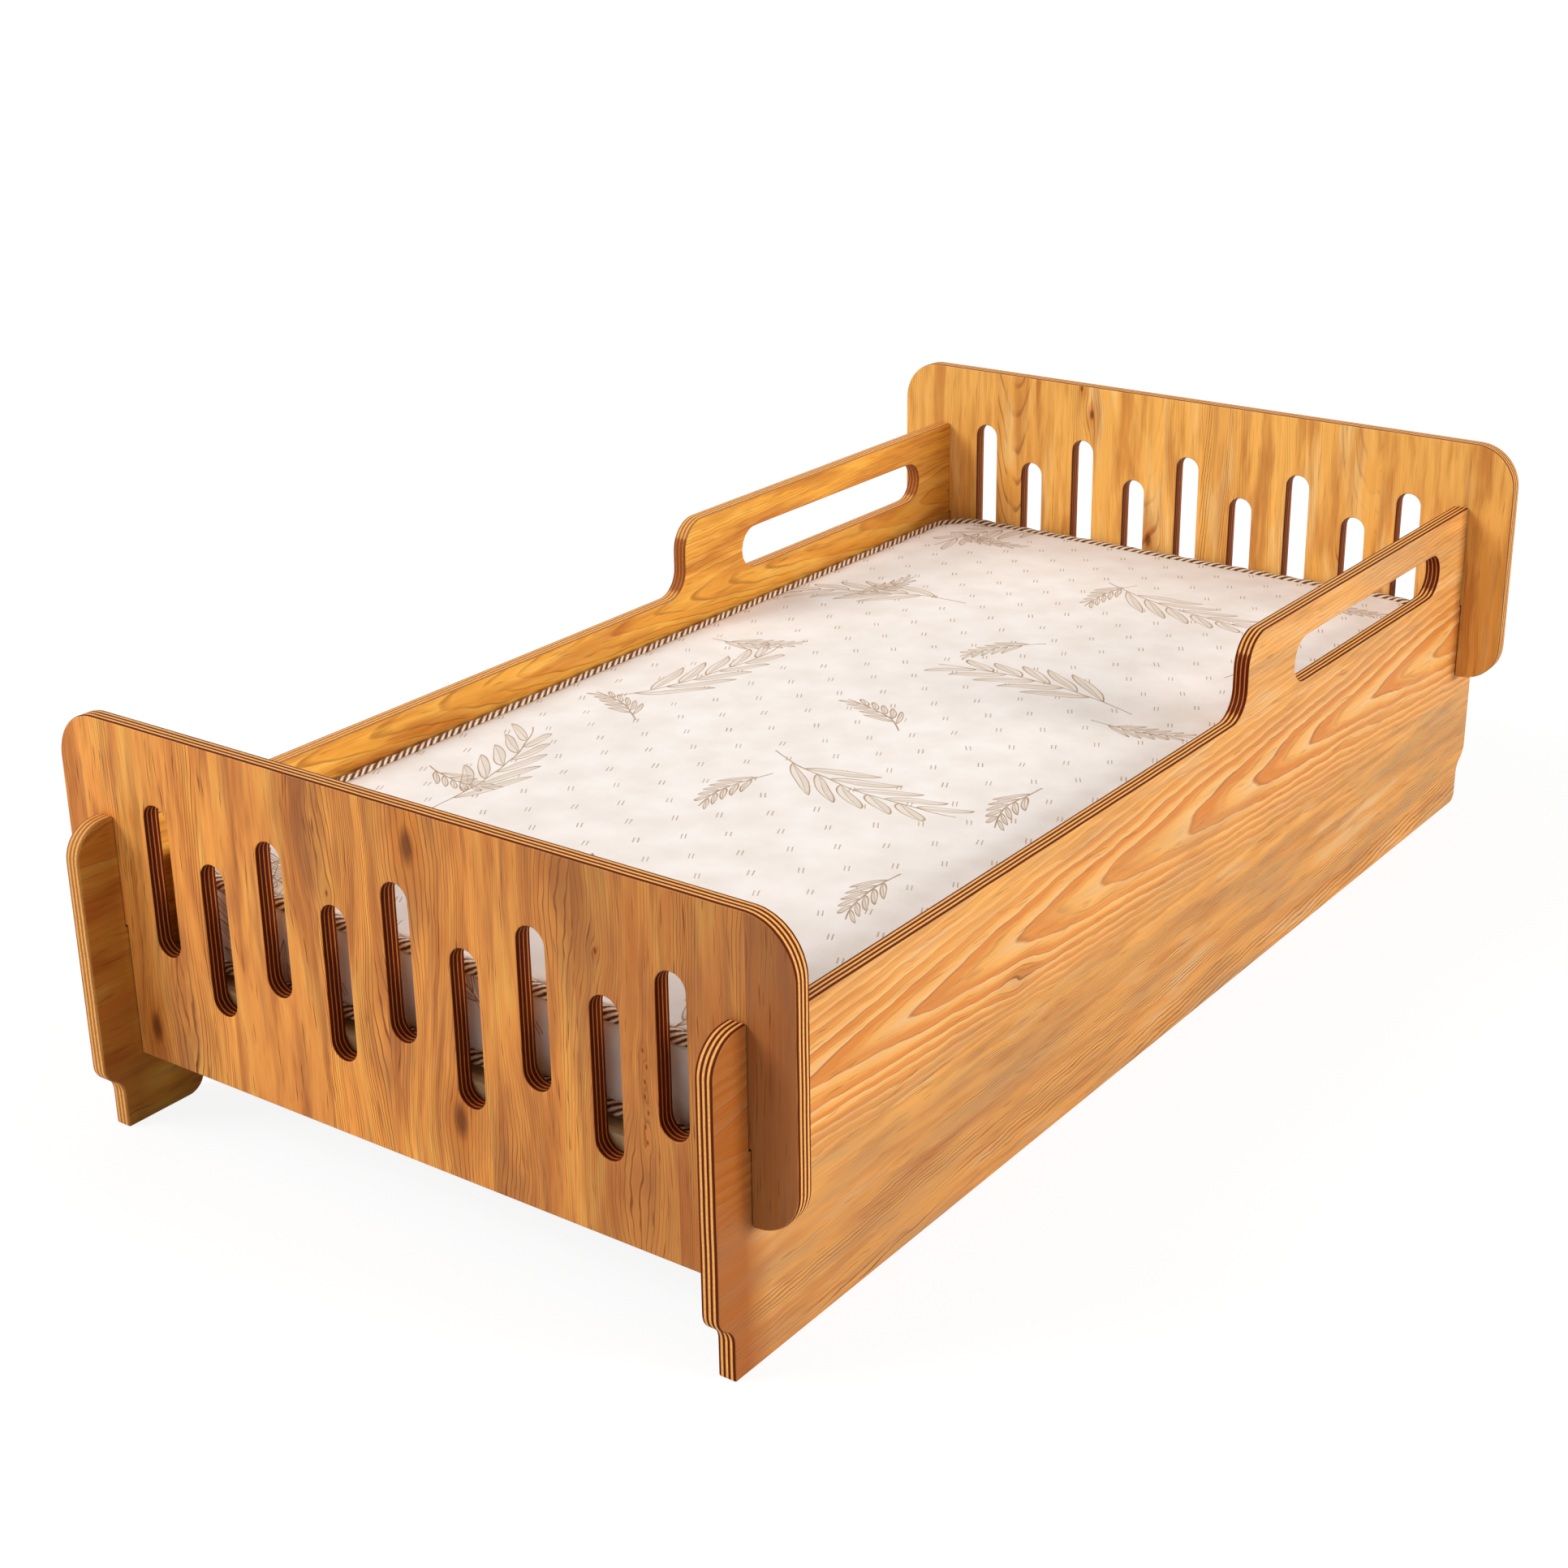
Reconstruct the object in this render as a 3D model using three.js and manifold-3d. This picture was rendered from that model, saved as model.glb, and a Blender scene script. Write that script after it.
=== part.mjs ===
// Toddler floor bed: a knock-down plywood bed for a 140 x 70 cm mattress.
// Two side panels and two end boards cross in half-lap slots. Cleats inside the side panels
// carry screwed slats, and a bound mattress lies loose on the slats.
// Lengths are in millimetres. X runs across the bed, Y from the foot to the head and Z up.
// The origin lies on the floor, under the middle of the side panels.
import * as THREE from "three";
import { mergeVertices } from "three/addons/utils/BufferGeometryUtils.js";
import Module from "manifold-3d";

const wasm = await Module();
wasm.setup();

// Driving dimensions of the whole bed
const sheet = 18; // thickness of the plywood
const bayLength = 1403; // between the end boards
const baseHeight = 158; // floor to the top of the slats
const lapClearance = 0.3; // between a sheet and the slot that it fits
const seatGap = 0.3; // between a piece and what it rests on
const cutOverrun = 4; // how far a cutter runs past the face that it enters

// Side panels
const sideHeight = 300; // low part, beside the sleeper
const railRise = 86; // rail at the head end, above the low part
const railLength = 572; // rail, from the headboard to the foot of its step
const railOuterRadius = 36; // top of the step
const railInnerRadius = 30; // bottom of the step
const railGrip = 35; // wood above the handhold
const handholdHeight = 51;
const handholdLength = 386;
const handholdFromHead = 75; // end of the handhold to the headboard
const noseFront = 45; // how far the panel passes the footboard
const noseRear = 38; // how far the panel passes the headboard
const noseRise = 15; // top of a nose above the low part
const noseRadius = 34;
const footSetBack = 20; // from a nose to the foot below it
const footStepBottom = 36;
const footStepHeight = 34;
const rearCornerRadius = 12; // lower rear corner of each panel

// Arch under the left side panel
const archFootLength = 96; // each foot, at the floor
const archHeight = 60;
const archFootRadius = 20; // toe of a foot
const archTopRadius = 30;

// End boards
const footboardHeight = 410;
const footboardWidth = 840;
const footEarBottom = 133; // floor to the ear that hangs outside the side panel
const headboardHeight = 463;
const headboardWidth = 850;
const headEarBottom = 175;
const boardBottom = 70; // floor to the lower edge between the side panels
const earReach = 47; // past the side panel, on the narrower board
const boardCornerRadius = 50;
const earRadius = 44;
const lapShare = 0.42; // where the two slots of a lap meet, from the ear's end to the panel's top

// Slots of the end boards, alternately high and low
const slotWidth = 30;
const slotHeadroom = 72; // board's top to a high slot
const slotFloor = 187; // floor to the bottom of a high slot
const slotDrop = 41; // low slots lie this far below the high ones
const slotEdgeMargin = 57.5; // side panel to the middle of the outermost slot
const slotsPerHalf = 4; // each side of the middle slot
const endPitchShare = 0.915; // outermost pitch over the others

// Slatted base
const slatCount = 12;
const slatWidth = 70;
const slatThickness = 18;
const slatEndGap = 1.5; // slat to each side panel
const baseEndGap = 2; // first and last slat, and the cleats, to the end boards
const cleatThickness = 20;
const cleatHeight = 40;
const cleatScrewCount = 5; // on each side
const cleatScrewHeightShare = 0.3; // up the cleat
const cleatEndMarginShare = 0.06; // first and last screw, along the cleat

// Countersunk wood screws
const screwRadius = 2;
const screwHeadRadius = 4;
const screwHeadHeight = 2.6;
const screwPointLength = 5;
const screwPointRadius = 0.5;
const screwClearance = 0.3;
const cleatBite = 12; // slat screw, in the cleat
const panelBiteShare = 0.55; // cleat screw, in the panel's thickness
const screwSides = 8;

// Mattress and its two bindings
const mattressSideGap = 5; // binding to each side panel
const mattressFootGap = 12; // binding to the footboard
const mattressHeadGap = 3; // binding to the headboard
const mattressCornerRadius = 60;
const lowerSeamHeight = 12.7; // mattress bottom to the lower binding
const upperSeamHeight = 99.7; // mattress bottom to the upper binding
const mattressCrown = 9; // middle of the top above its edge
const wallDraw = 4; // how far the side wall pulls in halfway up
const wallSetIn = 6; // side wall behind the outside of the bindings
const bindingRadius = 4;
const seamHalfHeight = 6; // half of the groove that a binding lies in
const seamFloorHalfHeight = 2;
const topEdgeInset = 13; // where the top panel starts, level with the binding's top
const topEdgeRise = 3;
const bottomEdgeInset = 24; // where the flat bottom starts
const crownPower = 4;
const crownRingShares = [0.98, 0.94, 0.86, 0.72, 0.5, 0.25];
const cornerSteps = 6;
const longSideSteps = 10;
const shortSideSteps = 5;
const bindingSides = 8;

const arcSteps = 4; // half the segments of each arc of an outline

// Places that several pieces share
const bayWidth = Math.min(footboardWidth, headboardWidth) - 2 * (sheet + earReach);
const halfBay = bayWidth / 2;
const panelOuter = halfBay + sheet;
const panelLength = noseFront + sheet + bayLength + sheet + noseRear;
const panelFront = -panelLength / 2;
const panelRear = panelLength / 2;
const footboardFace = panelFront + noseFront;
const footboardBack = footboardFace + sheet;
const headboardBack = panelRear - noseRear;
const headboardFace = headboardBack - sheet;
const railHeight = sideHeight + railRise;
const noseTop = sideHeight + noseRise;
const footLapHeight = footEarBottom + lapShare * (sideHeight - footEarBottom);
const headLapHeight = headEarBottom + lapShare * (railHeight - headEarBottom);
const cleatTop = baseHeight - slatThickness - seatGap;
const cleatMiddle = halfBay - seatGap - cleatThickness / 2;
const baseLength = bayLength - 2 * baseEndGap;
const baseFront = footboardBack + baseEndGap;
const slatScrewLength = slatThickness + seatGap + cleatBite;
const cleatScrewLength = cleatThickness + seatGap + panelBiteShare * sheet;
const cleatScrewUp = cleatScrewHeightShare * cleatHeight;
const mattressHalfWidth = halfBay - mattressSideGap;
const mattressHalfLength = (bayLength - mattressFootGap - mattressHeadGap) / 2;
const mattressMiddle = footboardBack + mattressFootGap + mattressHalfLength;

// Materials
const finishes = {
  plywood: new THREE.MeshStandardMaterial({ color: 0xc98a48, roughness: 0.38, metalness: 0 }),
  boardPly: new THREE.MeshStandardMaterial({ color: 0xc78744, roughness: 0.38, metalness: 0 }),
  pine: new THREE.MeshStandardMaterial({ color: 0xd9b27c, roughness: 0.6, metalness: 0 }),
  zinc: new THREE.MeshStandardMaterial({ color: 0xb9bcc0, roughness: 0.35, metalness: 1 }),
  ticking: new THREE.MeshStandardMaterial({ color: 0xf0e4da, roughness: 0.9, metalness: 0 }),
  thread: new THREE.MeshStandardMaterial({ color: 0xa78672, roughness: 0.85, metalness: 0 }),
};

// Solids and booleans

// A closed geometry as a solid that can be cut.
function toSolid(geometry) {
  const bare = geometry.index ? geometry.toNonIndexed() : geometry.clone();
  bare.deleteAttribute("normal");
  bare.deleteAttribute("uv");
  const merged = mergeVertices(bare);
  return new wasm.Manifold(
    new wasm.Mesh({
      numProp: 3,
      vertProperties: merged.attributes.position.array,
      triVerts: new Uint32Array(merged.index.array),
    }),
  );
}

// A solid back as a geometry, flat shaded.
function toGeometry(solid) {
  const mesh = solid.getMesh();
  const geometry = new THREE.BufferGeometry();
  geometry.setAttribute("position", new THREE.BufferAttribute(mesh.vertProperties, 3));
  geometry.setIndex(new THREE.BufferAttribute(mesh.triVerts, 1));
  const flat = geometry.toNonIndexed();
  flat.computeVertexNormals();
  return flat;
}

// Cuts each tool out of a body.
function cut(body, tools) {
  let solid = toSolid(body);
  for (const tool of tools) {
    solid = solid.subtract(toSolid(tool));
  }
  return toGeometry(solid);
}

function named(name, geometry, finish) {
  const mesh = new THREE.Mesh(geometry, finish);
  mesh.name = name;
  return mesh;
}

// An outline drawn in (along, up) becomes a sheet whose thickness runs along +X.
function sheetAcross(shape) {
  const geometry = new THREE.ExtrudeGeometry(shape, {
    depth: sheet,
    bevelEnabled: false,
    curveSegments: arcSteps,
  });
  const along = new THREE.Vector3(0, 1, 0);
  const up = new THREE.Vector3(0, 0, 1);
  const thickness = new THREE.Vector3(1, 0, 0);
  return geometry.applyMatrix4(new THREE.Matrix4().makeBasis(along, up, thickness));
}

// An outline drawn in (across, up) becomes a sheet whose thickness runs along -Y.
function sheetAlong(shape) {
  const geometry = new THREE.ExtrudeGeometry(shape, {
    depth: sheet,
    bevelEnabled: false,
    curveSegments: arcSteps,
  });
  return geometry.rotateX(Math.PI / 2);
}

// A stadium: an oblong hole with round ends, upright where its height is the longer side.
function stadium(left, bottom, right, top) {
  const path = new THREE.Path();
  const radius = Math.min(right - left, top - bottom) / 2;
  if (top - bottom > right - left) {
    path.absarc(left + radius, top - radius, radius, 0, Math.PI, false);
    path.absarc(left + radius, bottom + radius, radius, Math.PI, 2 * Math.PI, false);
  } else {
    path.absarc(right - radius, bottom + radius, radius, -Math.PI / 2, Math.PI / 2, false);
    path.absarc(left + radius, bottom + radius, radius, Math.PI / 2, (3 * Math.PI) / 2, false);
  }
  path.closePath();
  return path;
}

// Side panels

// The S between a foot and the nose above it: two equal arcs that meet halfway.
function stepSweep(setBack, height) {
  const angle = 2 * Math.atan(setBack / height);
  return { angle, radius: height / (2 * Math.sin(angle)) };
}

// The lower edge is straight, or arched between two feet.
function drawLowerEdge(shape, footFront, footRear, arched) {
  shape.moveTo(footFront, footStepBottom);
  shape.lineTo(footFront, 0);
  if (arched) {
    const frontHeel = footFront + archFootLength;
    const rearHeel = footRear - archFootLength;
    const toe = Math.min(archFootRadius, archHeight / 2);
    const top = Math.min(archTopRadius, archHeight - toe);
    shape.absarc(frontHeel - toe, toe, toe, -Math.PI / 2, 0, false);
    shape.absarc(frontHeel + top, archHeight - top, top, Math.PI, Math.PI / 2, true);
    shape.absarc(rearHeel - top, archHeight - top, top, Math.PI / 2, 0, true);
    shape.absarc(rearHeel + toe, toe, toe, Math.PI, (3 * Math.PI) / 2, false);
  }
  const corner = Math.min(rearCornerRadius, footStepBottom);
  shape.absarc(footRear - corner, corner, corner, -Math.PI / 2, 0, false);
}

// The rear end, from the foot's step over the nose and down into the headboard's slot.
function drawRearEnd(shape, footRear) {
  const step = stepSweep(footSetBack, footStepHeight);
  const stepTop = footStepBottom + footStepHeight;
  const round = Math.min(noseRadius, noseRear - lapClearance);
  shape.absarc(footRear + step.radius, footStepBottom, step.radius, Math.PI, Math.PI - step.angle, true);
  shape.absarc(panelRear - step.radius, stepTop, step.radius, -step.angle, 0, false);
  shape.absarc(panelRear - round, noseTop - round, round, 0, Math.PI / 2, false);
  shape.lineTo(headboardBack + lapClearance, noseTop);
  shape.lineTo(headboardBack + lapClearance, headLapHeight - lapClearance);
  shape.lineTo(headboardFace - lapClearance, headLapHeight - lapClearance);
}

// The top, along the rail, down its step and on to the footboard's slot.
function drawTopEdge(shape) {
  const railFoot = headboardFace - railLength;
  const fit = Math.min(1, railRise / (railOuterRadius + railInnerRadius));
  const outer = fit * railOuterRadius;
  const inner = fit * railInnerRadius;
  shape.lineTo(headboardFace - lapClearance, railHeight);
  shape.absarc(railFoot + outer, railHeight - outer, outer, Math.PI / 2, Math.PI, false);
  shape.absarc(railFoot - inner, sideHeight + inner, inner, 0, -Math.PI / 2, true);
  shape.lineTo(footboardBack + lapClearance, sideHeight);
  shape.lineTo(footboardBack + lapClearance, footLapHeight - lapClearance);
  shape.lineTo(footboardFace - lapClearance, footLapHeight - lapClearance);
}

// The front nose and the step down to the front foot.
function drawFrontEnd(shape, footFront) {
  const step = stepSweep(footSetBack, footStepHeight);
  const stepTop = footStepBottom + footStepHeight;
  const round = Math.min(noseRadius, noseFront - lapClearance);
  shape.lineTo(footboardFace - lapClearance, noseTop);
  shape.absarc(panelFront + round, noseTop - round, round, Math.PI / 2, Math.PI, false);
  shape.absarc(panelFront + step.radius, stepTop, step.radius, Math.PI, Math.PI + step.angle, false);
  shape.absarc(footFront - step.radius, footStepBottom, step.radius, step.angle, 0, true);
  shape.closePath();
}

function sidePanelShape(arched) {
  const footFront = panelFront + footSetBack;
  const footRear = panelRear - footSetBack;
  const shape = new THREE.Shape();
  drawLowerEdge(shape, footFront, footRear, arched);
  drawRearEnd(shape, footRear);
  drawTopEdge(shape);
  drawFrontEnd(shape, footFront);
  const handholdRear = headboardFace - handholdFromHead;
  const handholdTop = railHeight - railGrip;
  shape.holes.push(
    stadium(handholdRear - handholdLength, handholdTop - handholdHeight, handholdRear, handholdTop),
  );
  return shape;
}

// Where the cleat screws stand along the bed.
function cleatScrewPlaces() {
  const first = baseFront + cleatEndMarginShare * baseLength;
  const span = baseLength * (1 - 2 * cleatEndMarginShare);
  return Array.from({ length: cleatScrewCount }, (_, i) => first + (span * i) / (cleatScrewCount - 1));
}

// A round cutter with its middle at the origin, along X, Y or Z.
function roundCutter(radius, length, axis) {
  const cutter = new THREE.CylinderGeometry(radius, radius, length, screwSides);
  if (axis === "x") {
    cutter.rotateZ(Math.PI / 2);
  }
  if (axis === "z") {
    cutter.rotateX(Math.PI / 2);
  }
  return cutter;
}

// side is 1 for the right panel and -1 for the left one. The pilot holes open on the inner face.
function sidePanel(name, side, arched) {
  const depth = cleatScrewLength - cleatThickness - seatGap + screwClearance;
  const length = depth + cutOverrun;
  const inner = side > 0 ? 0 : sheet;
  const holes = cleatScrewPlaces().map((y) =>
    roundCutter(screwRadius + screwClearance, length, "x").translate(
      inner + side * (depth - length / 2),
      y,
      cleatTop - cleatHeight + cleatScrewUp,
    ),
  );
  const mesh = named(name, cut(sheetAcross(sidePanelShape(arched)), holes), finishes.plywood);
  mesh.position.x = side > 0 ? halfBay : -panelOuter;
  return mesh;
}

// End boards

// Middles of the slots across a board, each with its drop below the high slots.
function slotPlaces() {
  const outermost = halfBay - slotEdgeMargin;
  const pitch = outermost / (slotsPerHalf - 1 + endPitchShare);
  const places = [];
  for (let i = -slotsPerHalf; i <= slotsPerHalf; i += 1) {
    const across = Math.abs(i) === slotsPerHalf ? Math.sign(i) * outermost : i * pitch;
    const low = (i + slotsPerHalf) % 2 === 1;
    places.push({ across, drop: low ? slotDrop : 0 });
  }
  return places;
}

function boardShape(width, height, earBottom, lapHeight) {
  const half = width / 2;
  const slotInner = halfBay - lapClearance;
  const slotOuter = panelOuter + lapClearance;
  const lapTop = lapHeight + lapClearance;
  const ear = Math.min(earRadius, half - slotOuter);
  const corner = boardCornerRadius;
  const shape = new THREE.Shape();
  shape.moveTo(-slotInner, boardBottom);
  shape.lineTo(slotInner, boardBottom);
  shape.lineTo(slotInner, lapTop);
  shape.lineTo(slotOuter, lapTop);
  shape.lineTo(slotOuter, earBottom);
  shape.absarc(half - ear, earBottom + ear, ear, -Math.PI / 2, 0, false);
  shape.absarc(half - corner, height - corner, corner, 0, Math.PI / 2, false);
  shape.absarc(corner - half, height - corner, corner, Math.PI / 2, Math.PI, false);
  shape.absarc(ear - half, earBottom + ear, ear, Math.PI, (3 * Math.PI) / 2, false);
  shape.lineTo(-slotOuter, earBottom);
  shape.lineTo(-slotOuter, lapTop);
  shape.lineTo(-slotInner, lapTop);
  shape.closePath();
  for (const { across, drop } of slotPlaces()) {
    const top = height - slotHeadroom - drop;
    shape.holes.push(
      stadium(across - slotWidth / 2, slotFloor - drop, across + slotWidth / 2, top),
    );
  }
  return shape;
}

function footboard() {
  const shape = boardShape(footboardWidth, footboardHeight, footEarBottom, footLapHeight);
  const mesh = named("footboard", sheetAlong(shape), finishes.boardPly);
  mesh.position.y = footboardBack;
  return mesh;
}

function headboard() {
  const shape = boardShape(headboardWidth, headboardHeight, headEarBottom, headLapHeight);
  const mesh = named("headboard", sheetAlong(shape), finishes.boardPly);
  mesh.position.y = headboardBack;
  return mesh;
}

// Screws

// A countersunk screw that points down, with the top of its head at the origin.
function screwGeometry(length) {
  const profile = [
    new THREE.Vector2(0, -length),
    new THREE.Vector2(screwPointRadius, -length),
    new THREE.Vector2(screwRadius, screwPointLength - length),
    new THREE.Vector2(screwRadius, -screwHeadHeight),
    new THREE.Vector2(screwHeadRadius, 0),
    new THREE.Vector2(0, 0),
  ];
  return new THREE.LatheGeometry(profile, screwSides).rotateX(Math.PI / 2);
}

// The hole for such a screw: a countersink and a bore that runs on past the given depth.
function screwHole(depth) {
  const flare = (screwHeadRadius - screwRadius) / screwHeadHeight;
  const profile = [
    new THREE.Vector2(0, -depth),
    new THREE.Vector2(screwRadius + screwClearance, -depth),
    new THREE.Vector2(screwRadius + screwClearance, -screwHeadHeight),
    new THREE.Vector2(screwHeadRadius + screwClearance, 0),
    new THREE.Vector2(screwHeadRadius + screwClearance + flare * cutOverrun, cutOverrun),
    new THREE.Vector2(0, cutOverrun),
  ];
  return new THREE.LatheGeometry(profile, screwSides).rotateX(Math.PI / 2);
}

// Slatted base

function slatPitch() {
  return (baseLength - slatWidth) / (slatCount - 1);
}

function slatMiddle(index) {
  return baseFront + slatWidth / 2 + index * slatPitch();
}

function slat(index) {
  const body = new THREE.BoxGeometry(bayWidth - 2 * slatEndGap, slatWidth, slatThickness);
  const holes = [-1, 1].map((side) =>
    screwHole(slatThickness + cutOverrun).translate(side * cleatMiddle, 0, slatThickness / 2),
  );
  const mesh = named("slat_" + String(index + 1).padStart(2, "0"), cut(body, holes), finishes.pine);
  mesh.position.set(0, slatMiddle(index), baseHeight - slatThickness / 2);
  return mesh;
}

// The batten along a side panel, bored for its own screws and for the slats' screws.
function cleat(name, side) {
  const body = new THREE.BoxGeometry(cleatThickness, baseLength, cleatHeight);
  const middle = baseFront + baseLength / 2;
  const bore = screwRadius + screwClearance;
  const depth = cleatBite + screwClearance + seatGap;
  const length = depth + cutOverrun;
  const holes = [];
  for (let i = 0; i < slatCount; i += 1) {
    const pilot = roundCutter(bore, length, "z");
    holes.push(pilot.translate(0, slatMiddle(i) - middle, cleatHeight / 2 - depth + length / 2));
  }
  for (const y of cleatScrewPlaces()) {
    const hole = screwHole(cleatThickness + cutOverrun).rotateY((-side * Math.PI) / 2);
    holes.push(hole.translate((-side * cleatThickness) / 2, y - middle, cleatScrewUp - cleatHeight / 2));
  }
  const mesh = named(name, cut(body, holes), finishes.pine);
  mesh.position.set(side * cleatMiddle, middle, cleatTop - cleatHeight / 2);
  return mesh;
}

// One screw at each end of each slat, down into the cleat.
function slatScrew(sideName, side, index) {
  const name = sideName + "_slat_screw_" + String(index + 1).padStart(2, "0");
  const mesh = named(name, screwGeometry(slatScrewLength), finishes.zinc);
  mesh.position.set(side * cleatMiddle, slatMiddle(index), baseHeight);
  return mesh;
}

// Screws through the cleat into the side panel, driven from inside the bed.
function cleatScrew(sideName, side, index, y) {
  const name = sideName + "_cleat_screw_" + (index + 1);
  const mesh = named(name, screwGeometry(cleatScrewLength), finishes.zinc);
  mesh.rotation.y = (-side * Math.PI) / 2;
  mesh.position.set(side * (cleatMiddle - cleatThickness / 2), y, cleatTop - cleatHeight + cleatScrewUp);
  return mesh;
}

// Mattress

// Points round the mattress, anticlockwise from above, a given way in from its outermost line.
function mattressOutline(inset) {
  const halfWidth = mattressHalfWidth - inset;
  const halfLength = mattressHalfLength - inset;
  const radius = Math.max(mattressCornerRadius - inset, 0);
  const corners = [
    { x: halfWidth - radius, y: radius - halfLength, from: -Math.PI / 2, steps: longSideSteps },
    { x: halfWidth - radius, y: halfLength - radius, from: 0, steps: shortSideSteps },
    { x: radius - halfWidth, y: halfLength - radius, from: Math.PI / 2, steps: longSideSteps },
    { x: radius - halfWidth, y: radius - halfLength, from: Math.PI, steps: shortSideSteps },
  ];
  const points = [];
  corners.forEach((corner, i) => {
    for (let k = 0; k <= cornerSteps; k += 1) {
      const angle = corner.from + (k / cornerSteps) * (Math.PI / 2);
      points.push([corner.x + radius * Math.cos(angle), corner.y + radius * Math.sin(angle)]);
    }
    const start = points[points.length - 1];
    const next = corners[(i + 1) % corners.length];
    const end = [next.x + radius * Math.cos(next.from), next.y + radius * Math.sin(next.from)];
    for (let k = 1; k < corner.steps; k += 1) {
      const share = k / corner.steps;
      points.push([start[0] + (end[0] - start[0]) * share, start[1] + (end[1] - start[1]) * share]);
    }
  });
  return points.map(([x, y]) => [x, y + mattressMiddle]);
}

// A closed skin over rings that have as many points each. Poles close its two ends;
// without them the last ring joins the first.
function skin(rings, poles) {
  const size = rings[0].length;
  const positions = rings.flat(2);
  const index = [];
  const spans = poles ? rings.length - 1 : rings.length;
  for (let r = 0; r < spans; r += 1) {
    const low = r * size;
    const high = ((r + 1) % rings.length) * size;
    for (let k = 0; k < size; k += 1) {
      const next = (k + 1) % size;
      index.push(low + k, low + next, high + next, low + k, high + next, high + k);
    }
  }
  if (poles) {
    const bottom = positions.length / 3;
    const top = bottom + 1;
    positions.push(...poles.bottom, ...poles.top);
    const last = (rings.length - 1) * size;
    for (let k = 0; k < size; k += 1) {
      const next = (k + 1) % size;
      index.push(bottom, next, k, top, last + k, last + next);
    }
  }
  const geometry = new THREE.BufferGeometry();
  geometry.setAttribute("position", new THREE.Float32BufferAttribute(positions, 3));
  geometry.setIndex(index);
  const flat = geometry.toNonIndexed();
  flat.computeVertexNormals();
  return flat;
}

function levelRing(inset, height) {
  return mattressOutline(inset).map(([x, y]) => [x, y, height]);
}

// The groove in the mattress edge that a binding lies in, from below upwards.
function seamRings(height) {
  const floor = 2 * bindingRadius + seatGap;
  return [
    levelRing(floor, height - seamFloorHalfHeight),
    levelRing(floor, height + seamFloorHalfHeight),
  ];
}

// The crowned top: the edge ring shrinks towards the middle and rises by the crown's curve.
function crownRings(edgeHeight) {
  const halfWidth = mattressHalfWidth - topEdgeInset;
  const halfLength = mattressHalfLength - topEdgeInset;
  return crownRingShares.map((share) =>
    mattressOutline(topEdgeInset).map(([x, y]) => {
      const across = x * share;
      const along = (y - mattressMiddle) * share;
      const fallAcross = Math.abs(across / halfWidth) ** crownPower;
      const fallAlong = Math.abs(along / halfLength) ** crownPower;
      const rise = mattressCrown * (1 - fallAcross) * (1 - fallAlong);
      return [across, mattressMiddle + along, edgeHeight + rise];
    }),
  );
}

function mattress() {
  const bottom = baseHeight + seatGap;
  const lower = bottom + lowerSeamHeight;
  const upper = bottom + upperSeamHeight;
  const edge = upper + topEdgeRise;
  const rings = [
    levelRing(bottomEdgeInset, bottom),
    levelRing(topEdgeInset, lower - seamHalfHeight),
    ...seamRings(lower),
    levelRing(wallSetIn, lower + seamHalfHeight),
    levelRing(wallSetIn + wallDraw, (lower + upper) / 2),
    levelRing(wallSetIn, upper - seamHalfHeight),
    ...seamRings(upper),
    levelRing(topEdgeInset, edge),
    ...crownRings(edge),
  ];
  const poles = {
    bottom: [0, mattressMiddle, bottom],
    top: [0, mattressMiddle, edge + mattressCrown],
  };
  return named("mattress", skin(rings, poles), finishes.ticking);
}

// The overlocked edge cord round the mattress at a seam.
function binding(name, seamHeight) {
  const height = baseHeight + seatGap + seamHeight;
  const rings = [];
  for (let k = 0; k < bindingSides; k += 1) {
    const angle = (2 * Math.PI * k) / bindingSides;
    const inset = bindingRadius + bindingRadius * Math.cos(angle);
    rings.push(levelRing(inset, height - bindingRadius * Math.sin(angle)));
  }
  return named(name, skin(rings, null), finishes.thread);
}

// Assembly
const frame = new THREE.Group();
frame.add(sidePanel("left_side_panel", -1, true));
frame.add(sidePanel("right_side_panel", 1, false));
for (const [sideName, side] of [["left", -1], ["right", 1]]) {
  frame.add(cleat(sideName + "_cleat", side));
  cleatScrewPlaces().forEach((y, i) => frame.add(cleatScrew(sideName, side, i, y)));
  for (let i = 0; i < slatCount; i += 1) {
    frame.add(slatScrew(sideName, side, i));
  }
}
for (let i = 0; i < slatCount; i += 1) {
  frame.add(slat(i));
}

const bedding = new THREE.Group();
bedding.add(mattress());
bedding.add(binding("lower_binding", lowerSeamHeight));
bedding.add(binding("upper_binding", upperSeamHeight));

const bed = new THREE.Group();
bed.add(frame, footboard(), headboard(), bedding);

export default bed;
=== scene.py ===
# Toddler floor bed, dressed: varnished pine plywood, a raw pine base and a bound mattress.
# Lengths are in metres, except where a name or a comment says millimetres.
import functools
import math
import random

import bmesh
import bpy
from mathutils import Matrix, Vector, noise


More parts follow.
